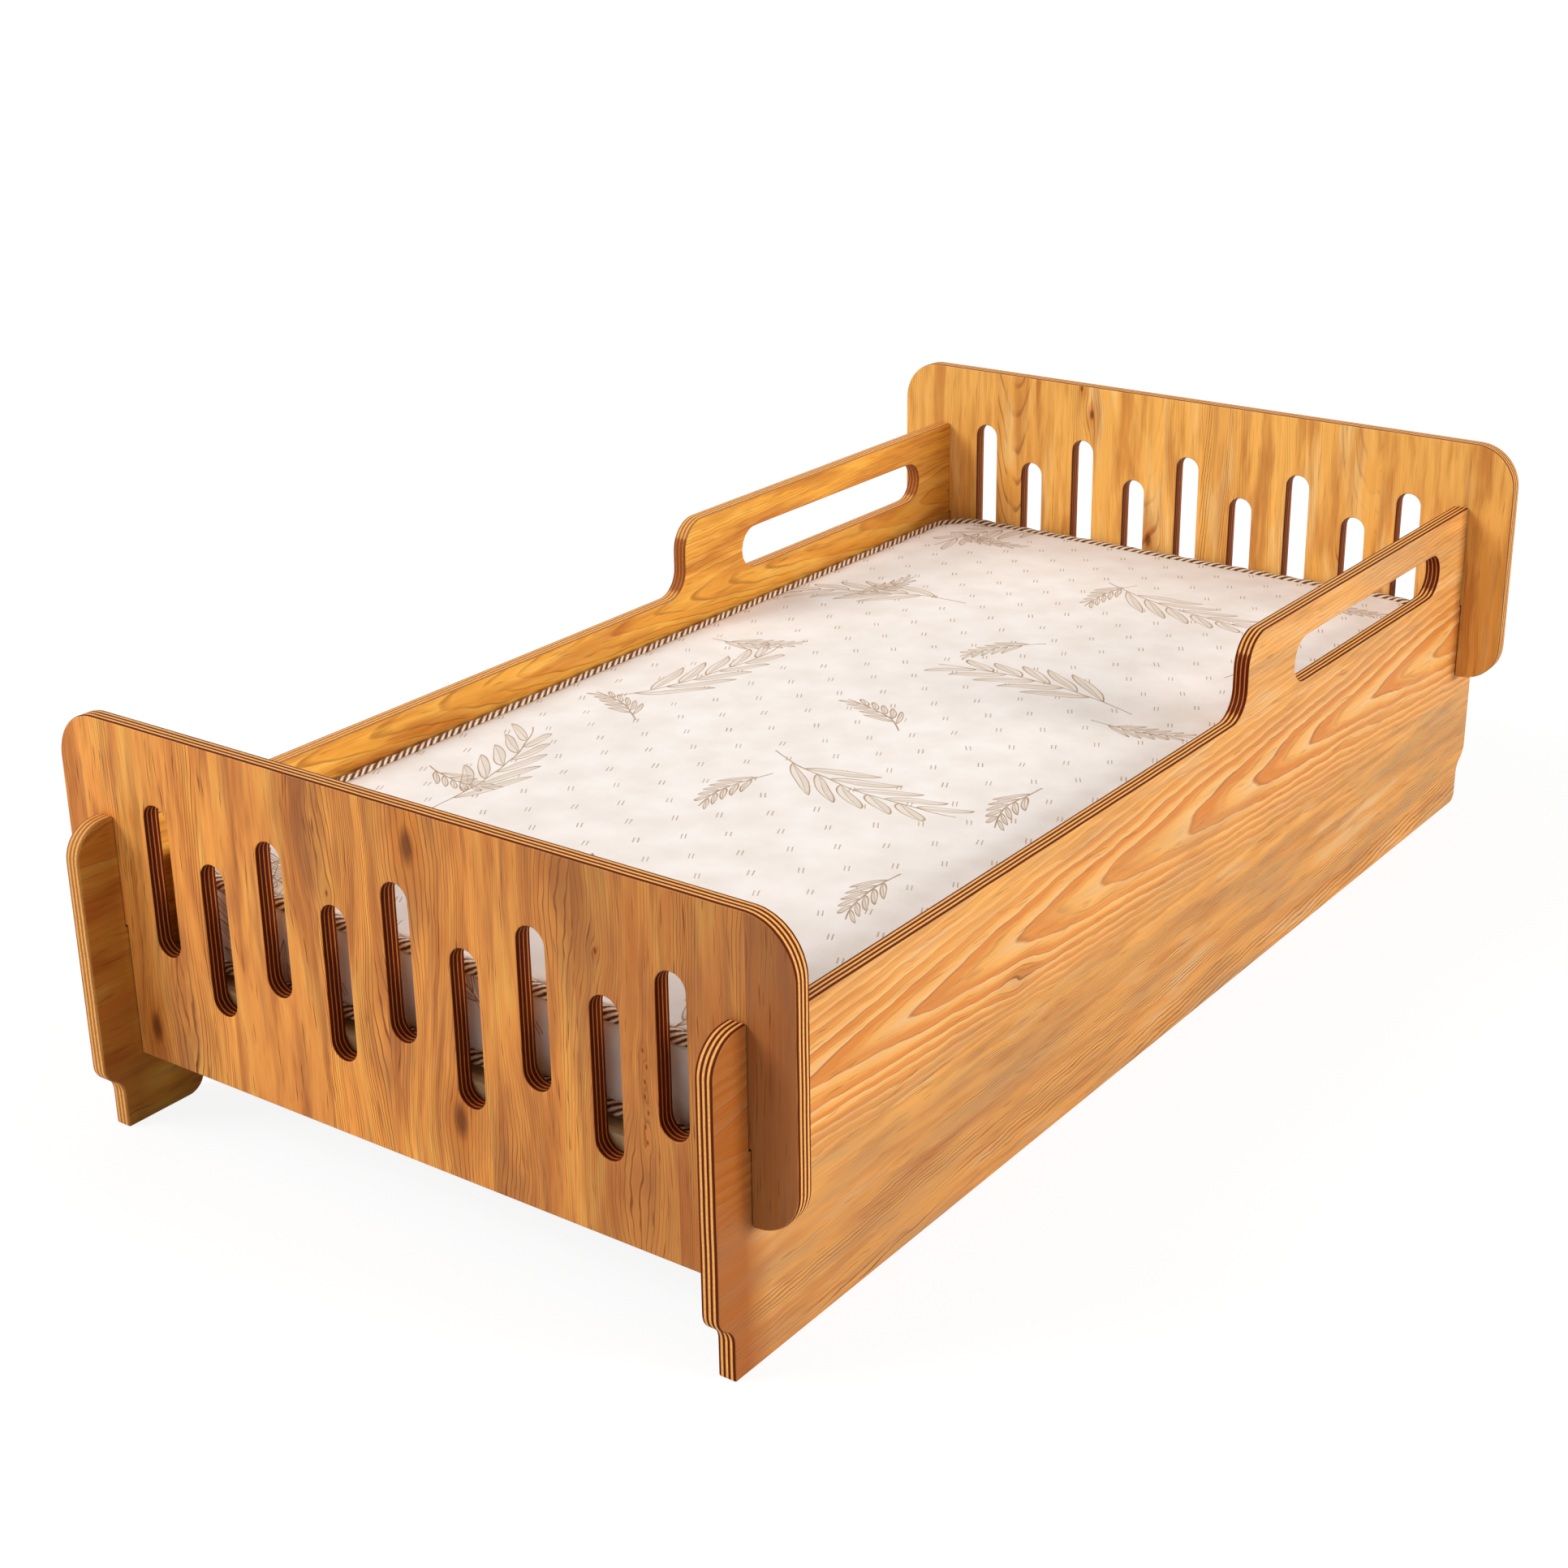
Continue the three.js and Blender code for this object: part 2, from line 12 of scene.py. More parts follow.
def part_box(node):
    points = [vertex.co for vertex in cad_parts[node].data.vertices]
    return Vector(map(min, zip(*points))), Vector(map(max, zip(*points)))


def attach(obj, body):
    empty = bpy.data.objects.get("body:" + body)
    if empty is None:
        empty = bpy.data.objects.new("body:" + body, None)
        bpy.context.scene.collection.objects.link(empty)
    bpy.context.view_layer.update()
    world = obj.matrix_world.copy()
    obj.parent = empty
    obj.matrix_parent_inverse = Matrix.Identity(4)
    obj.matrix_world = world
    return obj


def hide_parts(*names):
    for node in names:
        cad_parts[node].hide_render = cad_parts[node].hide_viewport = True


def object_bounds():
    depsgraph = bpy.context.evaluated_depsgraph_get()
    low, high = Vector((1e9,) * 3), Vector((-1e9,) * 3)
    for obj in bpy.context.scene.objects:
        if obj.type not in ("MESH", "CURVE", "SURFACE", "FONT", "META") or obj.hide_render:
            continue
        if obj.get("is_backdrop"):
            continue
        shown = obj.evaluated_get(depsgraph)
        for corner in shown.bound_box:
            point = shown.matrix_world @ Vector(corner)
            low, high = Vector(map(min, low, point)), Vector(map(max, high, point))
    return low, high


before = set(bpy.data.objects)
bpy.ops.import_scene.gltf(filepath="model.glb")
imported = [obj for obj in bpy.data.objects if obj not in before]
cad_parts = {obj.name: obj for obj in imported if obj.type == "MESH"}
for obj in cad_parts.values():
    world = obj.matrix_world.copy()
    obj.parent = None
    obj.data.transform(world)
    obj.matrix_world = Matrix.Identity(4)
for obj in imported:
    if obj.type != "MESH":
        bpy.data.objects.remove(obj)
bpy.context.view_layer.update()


# Camera
# It stands where the photograph was taken from, at the right of the foot end and a little
# above a child's head. The place, the turn and the lens come from the bed's own edges.
camera_place = (1.4346, -2.0977, 1.2244)
camera_turn = (67.870, 0.225, 34.699)  # degrees
camera_lens = 58.464  # mm, on a 36 mm sensor
camera_shift_shares = (-0.04513, -0.00254)  # of the picture's width

bpy.ops.object.camera_add(location=camera_place, rotation=[math.radians(a) for a in camera_turn])
camera = bpy.context.object
camera.name = "camera"
camera.data.sensor_width = 36
camera.data.lens = camera_lens
camera.data.shift_x, camera.data.shift_y = camera_shift_shares
bpy.context.scene.camera = camera
bpy.context.scene.view_settings.view_transform = "Standard"


# Studio
# A white floor and a white room. A broad key lamp stands at the left of the foot end, a
# second lamp lights the right side, and a third fills from above the head end.
lamp_distance = 4.0
room_light_share = 0.44  # of its white that the room gives the bed
floor_reach = 60.0
floor_glow_share = 0.885  # of the white that no shadow takes away
floor_lit_share = 0.14  # that the lamps light, so that the shadow shows


def from_hex(code):
    """An sRGB colour such as #c98a48 as linear red, green, blue and alpha."""
    parts = [int(code[i : i + 2], 16) / 255 for i in (1, 3, 5)]
    return [p / 12.92 if p <= 0.04045 else ((p + 0.055) / 1.055) ** 2.4 for p in parts] + [1.0]


def put(tree, kind, feeds=(), stops=None, **settings):
    """Adds one node, such as "Math MULTIPLY", and gives it back.

    Feeds are numbers, hex colours, sockets or nodes, in the order of its inputs or by name.
    A MapRange has the value, the span it comes from and the span it goes to. Stops are a
    colour ramp's.
    """
    kind, _, operation = kind.partition(" ")
    node = tree.nodes.new("ShaderNode" + kind)
    if operation:
        node.operation = operation
    for key, value in settings.items():
        setattr(node, key, value)
    for key, value in feeds.items() if isinstance(feeds, dict) else enumerate(feeds):
        if isinstance(value, bpy.types.Node):
            value = value.outputs[0]
        if isinstance(value, bpy.types.NodeSocket):
            tree.links.new(value, node.inputs[key])
        else:
            node.inputs[key].default_value = from_hex(value) if isinstance(value, str) else value
    if stops:
        while len(node.color_ramp.elements) < len(stops):
            node.color_ramp.elements.new(1.0)
        for element, (place, colour) in zip(node.color_ramp.elements, stops):
            element.position = place
            element.color = from_hex(colour)
    return node


def new_finish(name):
    """An empty material, and the function that adds a node to it."""
    finish = bpy.data.materials.new(name)
    finish.use_nodes = True
    finish.node_tree.nodes.clear()
    return finish, functools.partial(put, finish.node_tree)


def add_lamp(name, strength, angle, toward):
    """A broad, distant lamp. Toward points from the bed to the lamp."""
    place = Vector(toward) * lamp_distance
    turn = Vector(toward).to_track_quat("Z", "Y").to_euler()
    bpy.ops.object.light_add(type="SUN", location=place, rotation=turn)
    lamp = bpy.context.object
    lamp.name = name
    lamp.data.energy = strength
    lamp.data.angle = math.radians(angle)


add_lamp("key_lamp", 1.93, 30, (-0.60, -0.57, 0.56))
add_lamp("side_lamp", 2.0, 24, (0.92, 0.24, 0.33))
add_lamp("top_lamp", 0.3, 60, (-0.10, 0.35, 0.93))

room = bpy.data.worlds.new("white_room")
bpy.context.scene.world = room
room.use_nodes = True
room.node_tree.nodes.clear()
add = functools.partial(put, room.node_tree)
seen = add("LightPath")
direct = add("Math MAXIMUM", [seen.outputs["Is Camera Ray"], seen.outputs["Is Glossy Ray"]])
through = add("Math MAXIMUM", [direct, seen.outputs["Is Transmission Ray"]])
level = add("MapRange", [through, 0.0, 1.0, room_light_share, 1.0])
sky = add("Background", ["#ffffff", level])
add("OutputWorld", [sky])

bpy.ops.mesh.primitive_plane_add(size=floor_reach, location=(0, 0, 0))
floor = bpy.context.object
floor.name = "studio_floor"
floor_paint, add = new_finish("matt_white_floor")
seen = add("LightPath")
matt = add("BsdfDiffuse", [(0.8, 0.8, 0.8, 1)])
lit = add("BsdfDiffuse", [(floor_lit_share, floor_lit_share, floor_lit_share, 1)])
glow = add("Emission", ["#ffffff", floor_glow_share])
white = add("AddShader", [lit, glow])
shown = add("MixShader", [seen.outputs["Is Camera Ray"], matt, white])
add("OutputMaterial", [shown])
floor.data.materials.append(floor_paint)
floor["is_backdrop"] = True


# Side panels
# Each is one sheet of 18 mm pine plywood, cut with its rail, handhold, nose and feet, with
# rounded edges and a clear, slightly amber satin varnish over the whole sheet and its edges.
sheet = 18.0  # mm
first_line = 1.7  # mm, from the face to the middle of the first burnt glue line
line_pitch = (sheet - 2 * first_line) / 3
scorch_and_shade_fade = 2.0  # mm, half the width over which the darker walls of the slots begin, with scorch and painted shade
planks_apart = 211.0  # mm, how far apart in the log the planks of one face were cut
knot_squash_share = 0.45  # a knot's width, of its length along the grain
knot_push_share = 0.8  # how far the grain parts round a knot
edge_round = 0.0019
arc_share = 25  # percent of a facet taken off at each end to smooth a cut arc
arc_over = 2  # degrees between the facets of an arc, at least
arc_under = 35  # degrees, at most
sharp_over = 60  # degrees, at an edge that gets rounded
smooth_under = 40  # degrees
flat_under = 1  # degree between triangles of one flat face
weld_under = 0.00001
cut_slack = 0.00002
seam_slack = 0.00003
pilot_height = 0.1117  # the cleat screws' pilot holes, above the floor
handhold_middle = 0.437  # along the bed


def select_only(piece):
    bpy.ops.object.select_all(action="DESELECT")
    piece.select_set(True)
    bpy.context.view_layer.objects.active = piece


def edit_all(piece):
    """Opens the piece in edit mode with all of it selected."""
    select_only(piece)
    bpy.ops.object.mode_set(mode="EDIT")
    bpy.ops.mesh.select_all(action="SELECT")


def add_object(name, data):
    piece = bpy.data.objects.new(name, data)
    bpy.context.scene.collection.objects.link(piece)
    return piece


def add_modifier(piece, kind, **settings):
    select_only(piece)
    bpy.ops.object.modifier_add(type=kind)
    for key, value in settings.items():
        setattr(piece.modifiers[-1], key, value)
    return piece.modifiers[-1]


def apply_modifiers(piece):
    select_only(piece)
    for modifier in list(piece.modifiers):
        bpy.ops.object.modifier_apply(modifier=modifier.name)


def copy_of_node(node, name, seams):
    """A merged copy of a CAD node's mesh, with its flat faces as whole polygons.

    Seams are planes through the straight sides of its holes, given as an axis and a place,
    so that no polygon has to run round a hole.
    """
    piece = add_object(name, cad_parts[node].data.copy())
    piece.data.materials.clear()
    select_only(piece)
    bpy.ops.mesh.customdata_custom_splitnormals_clear()
    edit_all(piece)
    bpy.ops.mesh.remove_doubles(threshold=weld_under)
    for axis, place in seams:
        across = Vector([1.0 if i == axis else 0.0 for i in range(3)])
        bpy.ops.mesh.select_all(action="SELECT")
        bpy.ops.mesh.bisect(plane_co=across * place, plane_no=across, threshold=cut_slack)
        mesh = bmesh.from_edit_mesh(piece.data)
        for edge in mesh.edges:
            if all(abs(v.co[axis] - place) < seam_slack for v in edge.verts):
                edge.seam = True
        bmesh.update_edit_mesh(piece.data)
    bpy.ops.mesh.select_all(action="SELECT")
    bpy.ops.mesh.dissolve_limited(angle_limit=math.radians(flat_under), delimit={"SEAM"})
    bpy.ops.mesh.select_all(action="DESELECT")
    bpy.ops.object.mode_set(mode="OBJECT")
    return piece


def edge_angle(edge):
    return math.degrees(edge.calc_face_angle(0))


def bevel_edges(piece, is_wanted, **bevel):
    """Bevels the edges that is_wanted(edge) picks."""
    select_only(piece)
    bpy.ops.object.mode_set(mode="EDIT")
    bpy.ops.mesh.select_mode(type="EDGE")
    mesh = bmesh.from_edit_mesh(piece.data)
    for edge in mesh.edges:
        edge.select_set(len(edge.link_faces) == 2 and is_wanted(edge))
    mesh.select_flush_mode()
    bmesh.update_edit_mesh(piece.data)
    bpy.ops.mesh.bevel(affect="EDGES", **bevel)
    bpy.ops.object.mode_set(mode="OBJECT")


def smooth_shading(piece):
    select_only(piece)
    bpy.ops.object.shade_smooth_by_angle(angle=math.radians(smooth_under))
    add_modifier(piece, "WEIGHTED_NORMAL", keep_sharp=True)
    apply_modifiers(piece)


def cut_sheet(node, name, axis, seams, is_own_edge):
    """A sheet with smooth arcs and rounded edges. Axis is the one through its thickness."""
    piece = copy_of_node(node, name, seams)

    def is_arc(edge):
        is_upright = abs((edge.verts[1].co - edge.verts[0].co)[axis]) > 0.9 * edge.calc_length()
        return arc_over < edge_angle(edge) < arc_under and is_own_edge(edge) and is_upright

    def is_rim(edge):
        return edge_angle(edge) > sharp_over and is_own_edge(edge)

    bevel_edges(piece, is_arc, offset_type="PERCENT", offset_pct=arc_share, segments=2)
    bevel_edges(piece, is_rim, offset=edge_round, segments=3)
    smooth_shading(piece)
    return piece


def place_in_mm(add, axes):
    """The place along the grain, across it and through the thickness."""
    place = add("TexCoord").outputs["Object"]
    axis = add("SeparateXYZ", [add("VectorMath SCALE", {0: place, "Scale": 1000.0})])
    return [axis.outputs[i] for i in axes]


def stretched(add, grain, length, width, seed, detail=2.0, span=None):
    """Noise drawn out along the grain, with streaks of about this length and width in mm.

    Grain is the place along, across and deep. A span maps it as a MapRange does.
    """
    along, across, deep = grain
    where = add(
        "CombineXYZ",
        [
            add("Math MULTIPLY_ADD", [along, 1 / length, seed]),
            add("Math MULTIPLY_ADD", [across, 1 / width, seed]),
            add("Math MULTIPLY", [deep, 1 / width]),
        ],
    )
    streaks = add("TexNoise", {"Vector": where, "Scale": 1.0, "Detail": detail, "Roughness": 0.55})
    return add("MapRange", [streaks, *span]) if span else streaks


def glued_planks(add, across, planks):
    """The planks that a face is glued up from, side by side.

    Each plank in the list has its edge and the place of its log's heart in mm, and the
    strengths of its dark tone, its fine lines and its bold figure. Gives the plank's number
    and these four values at each point.
    """
    values = [0.0, *planks[0][1:]]
    sockets = list(values)
    for number, plank in enumerate(planks[1:], 1):
        past = add("Math GREATER_THAN", [across, plank[0]])
        for i, value in enumerate([float(number), *plank[1:]]):
            sockets[i] = add("Math MULTIPLY_ADD", [past, value - values[i], sockets[i]])
            values[i] = value
    return sockets


def pine_knots(add, along, across, bowed, knots):
    """Grain that parts round each knot, given by its place, its size and its reach in mm.

    Gives the new place across, the knots' dark hearts, their orange glow and their reach.
    """
    core, glow, reach = 0.0, 0.0, 0.0
    for knot_across, knot_along, knot_size, knot_reach in knots:
        aside = add("Math SUBTRACT", [across, knot_across])
        above = add("Math SUBTRACT", [along, knot_along])
        above = add("Math MULTIPLY", [above, knot_squash_share])
        offset = add("VectorMath LENGTH", [add("CombineXYZ", [aside, above])]).outputs["Value"]
        square = add("Math MULTIPLY", [offset, offset])
        fall = add("Math EXPONENT", [add("Math MULTIPLY", [square, -1 / knot_reach**2])])
        push = add("Math MULTIPLY", [fall, aside])
        bowed = add("Math MULTIPLY_ADD", [push, -knot_push_share, bowed])
        span = [offset, 1.3 * knot_size, 0.3 * knot_size]
        core = add("Math MAXIMUM", [core, add("MapRange", span, interpolation_type="SMOOTHSTEP")])
        span = [offset, 3.0 * knot_size, 0.8 * knot_size]
        glow = add("Math MAXIMUM", [glow, add("MapRange", span, interpolation_type="SMOOTHSTEP")])
        reach = add("Math MAXIMUM", [reach, fall])
    return bowed, core, glow, reach


def pine_rings(add, along, across, deep, heart, log):
    """The growth rings of a board cut from a log whose heart leans through it.

    A heart that nears the face draws round arches, and one that is far away straight lines.
    Where the log tapers, the arches are pointed, and rings may crowd together away from it.
    Gives the count of rings, the place across with the grain's sway, and the knots' hearts,
    glow and reach.
    """
    place, wave, seed = (along, across, deep), log["wave"], log["seed"]
    sway = stretched(add, place, wave, wave / 4, seed).outputs["Color"]
    sway = add("SeparateXYZ", [sway])
    ripple = stretched(add, place, wave / 9, wave / 20, seed + 2)
    bowed = add("Math SUBTRACT", [across, (log["sway"] + log["ripple"]) / 2])
    bowed = add("Math MULTIPLY_ADD", [sway.outputs[0], log["sway"], bowed])
    bowed = add("Math MULTIPLY_ADD", [ripple, log["ripple"], bowed])
    bowed, core, glow, reach = pine_knots(add, along, across, bowed, log["knots"])
    wide = add("Math SUBTRACT", [bowed, heart])
    depth = add("Math MULTIPLY_ADD", [along, log["lean_depth"], log["heart_depth"]])
    depth = add("Math MULTIPLY_ADD", [sway.outputs[1], log["sway_depth"], depth])
    radius = add("VectorMath LENGTH", [add("CombineXYZ", [wide, depth])]).outputs["Value"]
    uneven = stretched(add, (along, bowed, deep), 260.0, 30.0, seed + 13, 1.0)
    count = add("Math MULTIPLY", [radius, 1 / log["ring"]])
    count = add("Math ADD", [uneven, count])
    count = add("Math MULTIPLY_ADD", [along, log["taper"], count])
    outward = add("Math SUBTRACT", [wide, log["crowd_from"]])
    crowd = add("Math MULTIPLY", [outward, log["crowd"]])
    count = add("Math MULTIPLY_ADD", [outward, crowd, count])
    return count, bowed, core, glow, reach


def ply_edge(add, along, across, thick, start, log):
    """The sheet's edge: four burnt glue lines between pale plies, a little wavy and speckled.

    The walls of the slots and holes are darker, where the burnt lines spread: partly router scorch and
    partly painted shade in these recesses.
    Gives the colour, how burnt each point is, and 1 inside the sheet but 0 on its two faces.
    """
    low_along, high_along, low_across, high_across = log["scorched_and_shaded"]
    scorched_and_shaded = 1.0
    for value, border, inward in (
        (along, low_along, scorch_and_shade_fade),
        (along, high_along, -scorch_and_shade_fade),
        (across, low_across, scorch_and_shade_fade),
        (across, high_across, -scorch_and_shade_fade),
    ):
        within = add("MapRange", [value, border - inward, border + inward])
        scorched_and_shaded = add("Math MULTIPLY", [scorched_and_shaded, within])
    place, seed = (along, across, thick), log["seed"]
    wobble = stretched(add, place, 40.0, 40.0, seed + 11, 1.0, (0.0, 1.0, -1.0, 1.0))
    depth = add("Math SUBTRACT", [thick, start])
    bent = add("Math MULTIPLY_ADD", [wobble, 0.5, depth])
    ply = add("Math DIVIDE", [add("Math SUBTRACT", [bent, first_line]), line_pitch])
    off_line = add("Math SUBTRACT", [ply, add("Math ROUND", [ply])])
    off_line = add("Math ABSOLUTE", [off_line])
    # On the slot and hole walls the burnt lines spread wider, partly as painted shade
    off_line = add("Math MULTIPLY_ADD", [scorched_and_shaded, -0.12, off_line])
    burnt = add("MapRange", [off_line, 0.34, 0.19], interpolation_type="SMOOTHSTEP")
    burnt = add("Math MULTIPLY", [burnt, log["burnt"]])
    speck = stretched(add, place, 2.4, 2.4, seed + 5, 2.0, (0.3, 0.7, 0.85, 1.10))
    # The slot and hole walls' plies are darker: partly scorch, partly painted shade
    pale = add("MixRGB", [scorched_and_shaded, "#f4ae60", "#cc7c40"])
    pale = add("VectorMath SCALE", {0: pale, "Scale": speck})
    dark = add("MixRGB", [scorched_and_shaded, "#5c240e", "#5c200a"])
    edge = add("MixRGB", [burnt, pale, dark])
    off_middle = add("Math ABSOLUTE", [add("Math SUBTRACT", [depth, sheet / 2])])
    inside = add("MapRange", [off_middle, sheet / 2 - 0.3, sheet / 2 - 0.7])
    return edge, burnt, inside


def varnished_pine_plywood(name, axes, start, log):
    """Varnished pine plywood: the face veneer's rings, and the plies' stripes at its edges."""
    finish, add = new_finish(name)
    along, across, thick = place_in_mm(add, axes)
    number, heart, tone, lines, figure = glued_planks(add, across, log["planks"])
    deep = add("Math MULTIPLY_ADD", [number, planks_apart, thick])
    count, bowed, core, glow, reach = pine_rings(add, along, across, deep, heart, log)
    grain, seed = (along, bowed, deep), log["seed"]
    pale, gold, orange, edge, line, dull, brown, streak = log["colours"]

    # Bold figure: each ring goes from pale spring wood to an orange flame with a crisp tip
    flame = [(0.0, pale), (0.34, gold), (0.66, orange), (0.90, orange), (0.95, edge), (1.0, pale)]
    ring = add("ValToRGB", [add("Math FRACT", [count])], flame)
    # Calm wood: clouds of duller tones
    cloud = stretched(add, grain, log["cloud"], log["cloud"] / 6, seed + 7, 3.0)
    calm = add("ValToRGB", [cloud], [(0.34, brown), (0.45, dull), (0.56, gold), (0.68, pale)])
    faded = stretched(add, grain, 420.0, 60.0, seed + 29, 1.0, (0.35, 0.60, 0.55, 1.0))
    away = add("Math ABSOLUTE", [add("Math SUBTRACT", [bowed, heart])])
    near = add("MapRange", [away, 75.0, 30.0, 0.45, 1.0])
    bold = add("Math MULTIPLY", [figure, faded])
    bold = add("Math MULTIPLY", [bold, near])
    wood = add("MixRGB", [bold, calm, ring])

    # Each plank has a tone of its own (on the footboard partly painted shade), and the noses and a
    # panel's lower half are drawn darker as painted shade
    # Painted shade on the noses, which stand out beyond the end boards
    nose = add("MapRange", [along, -690.0, -725.0])
    nose = add("Math MULTIPLY", [nose, log["nose_painted_shade"]])
    # Painted shade on a panel's lower half, stronger towards the foot end
    lower = add("MapRange", [across, 185.0, 115.0])
    fades = add("MapRange", [along, -700.0, 700.0, 1.1, 0.6])
    lower = add("Math MULTIPLY", [lower, fades])
    tone = add("Math MULTIPLY_ADD", [lower, log["lower_painted_shade"], tone])

    # Fine dark lines follow the same rings, come and go, and crowd round the knots
    fine = add("Math FRACT", [add("Math MULTIPLY", [count, log["fine"]])])
    # A paler band beside each fine line is a painted highlight, carried on as light
    beside = [(0.0, "#606060"), (0.25, "#000000"), (0.6, "#000000"), (0.7, "#707070")]
    painted_highlight_band = add("ValToRGB", [fine], beside)
    crisp = [(0.70, "#000000"), (0.86, "#ffffff"), (0.94, "#ffffff"), (1.0, "#000000")]
    fine = add("ValToRGB", [fine], crisp)
    patchy = stretched(add, grain, 300.0, 16.0, seed + 23, 2.0, (0.44, 0.58, 0.05, 1.0))
    patchy = add("Math MULTIPLY", [patchy, lines])
    patchy = add("Math MAXIMUM", [patchy, add("Math MULTIPLY", [reach, 0.9])])
    thin = add("Math MULTIPLY", [fine, patchy])
    light = add("Math MULTIPLY", [painted_highlight_band, patchy])

    # Brownish and reddish smudges along the grain, off the bold figure
    plain = add("Math MULTIPLY_ADD", [bold, -0.8, 1.0])
    length = log["smudge"]
    smudge = stretched(add, grain, length, length / 12, seed + 17, 2.0, (0.52, 0.72, 0.0, log["smudged"]))
    smudge = add("Math MULTIPLY", [smudge, plain])
    ember = stretched(add, grain, 190.0, 22.0, seed + 41, 3.0, (0.50, 0.66, 0.0, log["ember"]))
    ember = add("Math MULTIPLY", [ember, plain])

    # The wood round the knots is darker
    speckled = stretched(add, grain, 90.0, 14.0, seed + 53, 2.0, (0.35, 0.6, 0.3, 1.0))
    gloom = add("Math MULTIPLY", [reach, log["gloom"]])
    gloom = add("Math MULTIPLY", [gloom, speckled])
    for amount, colour in (
        # The tone holds the plank tones and the lower half's painted shade, and the nose colour paints
        # the noses' shade
        (tone, log["dark_tone"]),
        (nose, log["nose_shade_colour"]),
        # The painted highlight beside the fine lines
        (light, pale),
        (thin, line),
        (smudge, log["smudge_colour"]),
        (ember, "#b0602a"),
        (gloom, log["dark_tone"]),
    ):
        wood = add("MixRGB", [amount, wood, colour])

    # Fibres, short dark resin streaks along the grain, and the knots' glow and dark hearts
    fibre = stretched(add, grain, 70.0, 1.8, seed, 2.0, (0.3, 0.7, 0.94, 1.05))
    wood = add("VectorMath SCALE", {0: wood, "Scale": fibre})
    resin = stretched(add, grain, 46.0, 2.2, seed + 3, 1.0, (0.66, 0.74, 0.0, log["resin"]))
    warm = add("Math MULTIPLY", [glow, 0.35])
    knot = add("Math MULTIPLY", [core, 0.8])
    for amount, colour in ((resin, streak), (warm, "#d97a20"), (knot, "#5e2c14")):
        wood = add("MixRGB", [amount, wood, colour])

    stripes, burnt, inside = ply_edge(add, along, across, thick, start, log)
    relief = add("Math MULTIPLY_ADD", [thin, -0.6, fibre])
    sunk = add("Math MULTIPLY", [burnt, inside])
    relief = add("Math MULTIPLY_ADD", [sunk, -1.0, relief])
    surface = {
        "Base Color": add("MixRGB", [inside, wood, stripes]),
        "Roughness": add("MapRange", [cloud, 0.3, 0.7, 0.36, 0.48]),
        "Normal": add("Bump", {"Height": relief, "Strength": 0.25, "Distance": 0.0004}),
        "IOR": 1.46,
        "Specular IOR Level": add("MapRange", [inside, 0.0, 1.0, 0.14, 0.03]),
    }
    add("OutputMaterial", [add("BsdfPrincipled", surface)])
    return finish


def is_sheet_edge(edge):
    """True for the sheet's own edges, and not for the mouths of the cleat screws' pilot holes."""
    middle = (edge.verts[0].co + edge.verts[1].co) / 2
    return abs(middle.z - pilot_height) > 0.004 or edge.calc_length() > 0.03


# Lengths in a log are in mm, and its strengths are shares of 1. Its knots and planks are as
# pine_knots and glued_planks take them, and its colours are the palette of its wood.
panel_log = dict(
    seed=2.3,
    knots=[(187, -311, 0.7, 15)],
    planks=[(0, -40, 0.04, 1, 0), (151, 220, 0.21, 0.25, 0.95)],
    wave=420, sway=16, ripple=7, heart_depth=10, lean_depth=0, sway_depth=6, ring=29,
    taper=-0.0063, crowd=0.0006, crowd_from=12, fine=2, cloud=190, burnt=1, gloom=0.4,
    # The darker nose and lower half of this panel are painted shade
    nose_painted_shade=0.85, nose_shade_colour="#9c5018", ember=0.3, lower_painted_shade=0.46, dark_tone="#ac7042",
    smudge=130, smudged=0.48, smudge_colour="#a8683a", resin=0.45,
    # Within this box the cut walls are darker: partly scorch, partly painted shade
    scorched_and_shaded=(70, 640, 306, 366),
    colours=["#f7c888", "#fab45c", "#de8636", "#c87028", "#6e3c1a", "#eaae62", "#d4a468", "#84502a"],
)
left_log = dict(
    panel_log,
    seed=8.6,
    knots=[],
    planks=[(0, 287, 0.04, 0.45, 0.35)],
    # The darker nose and lower half of this panel are painted shade
    burnt=0.62, nose_painted_shade=0.55, nose_shade_colour="#7c3a0c", lower_painted_shade=0.2, dark_tone="#743408",
    smudged=0.45, ember=0.55, smudge_colour="#9a5420",
    colours=["#f4c05e", "#eca640", "#d8822a", "#b8641c", "#803e10", "#e6a444", "#c47a2e", "#6b300b"],
)

for node, start, log in (
    ("left_side_panel", -373.0, left_log),
    ("right_side_panel", 355.0, panel_log),
):
    side = node.split("_")[0]
    seams = [(2, pilot_height), (1, handhold_middle)]
    piece = cut_sheet(node, side + "_side_sheet", 0, seams, is_sheet_edge)
    finish = varnished_pine_plywood("varnished_pine_plywood_" + side, (1, 2, 0), start, log)
    piece.data.materials.append(finish)
    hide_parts(node)
    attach(piece, "frame")


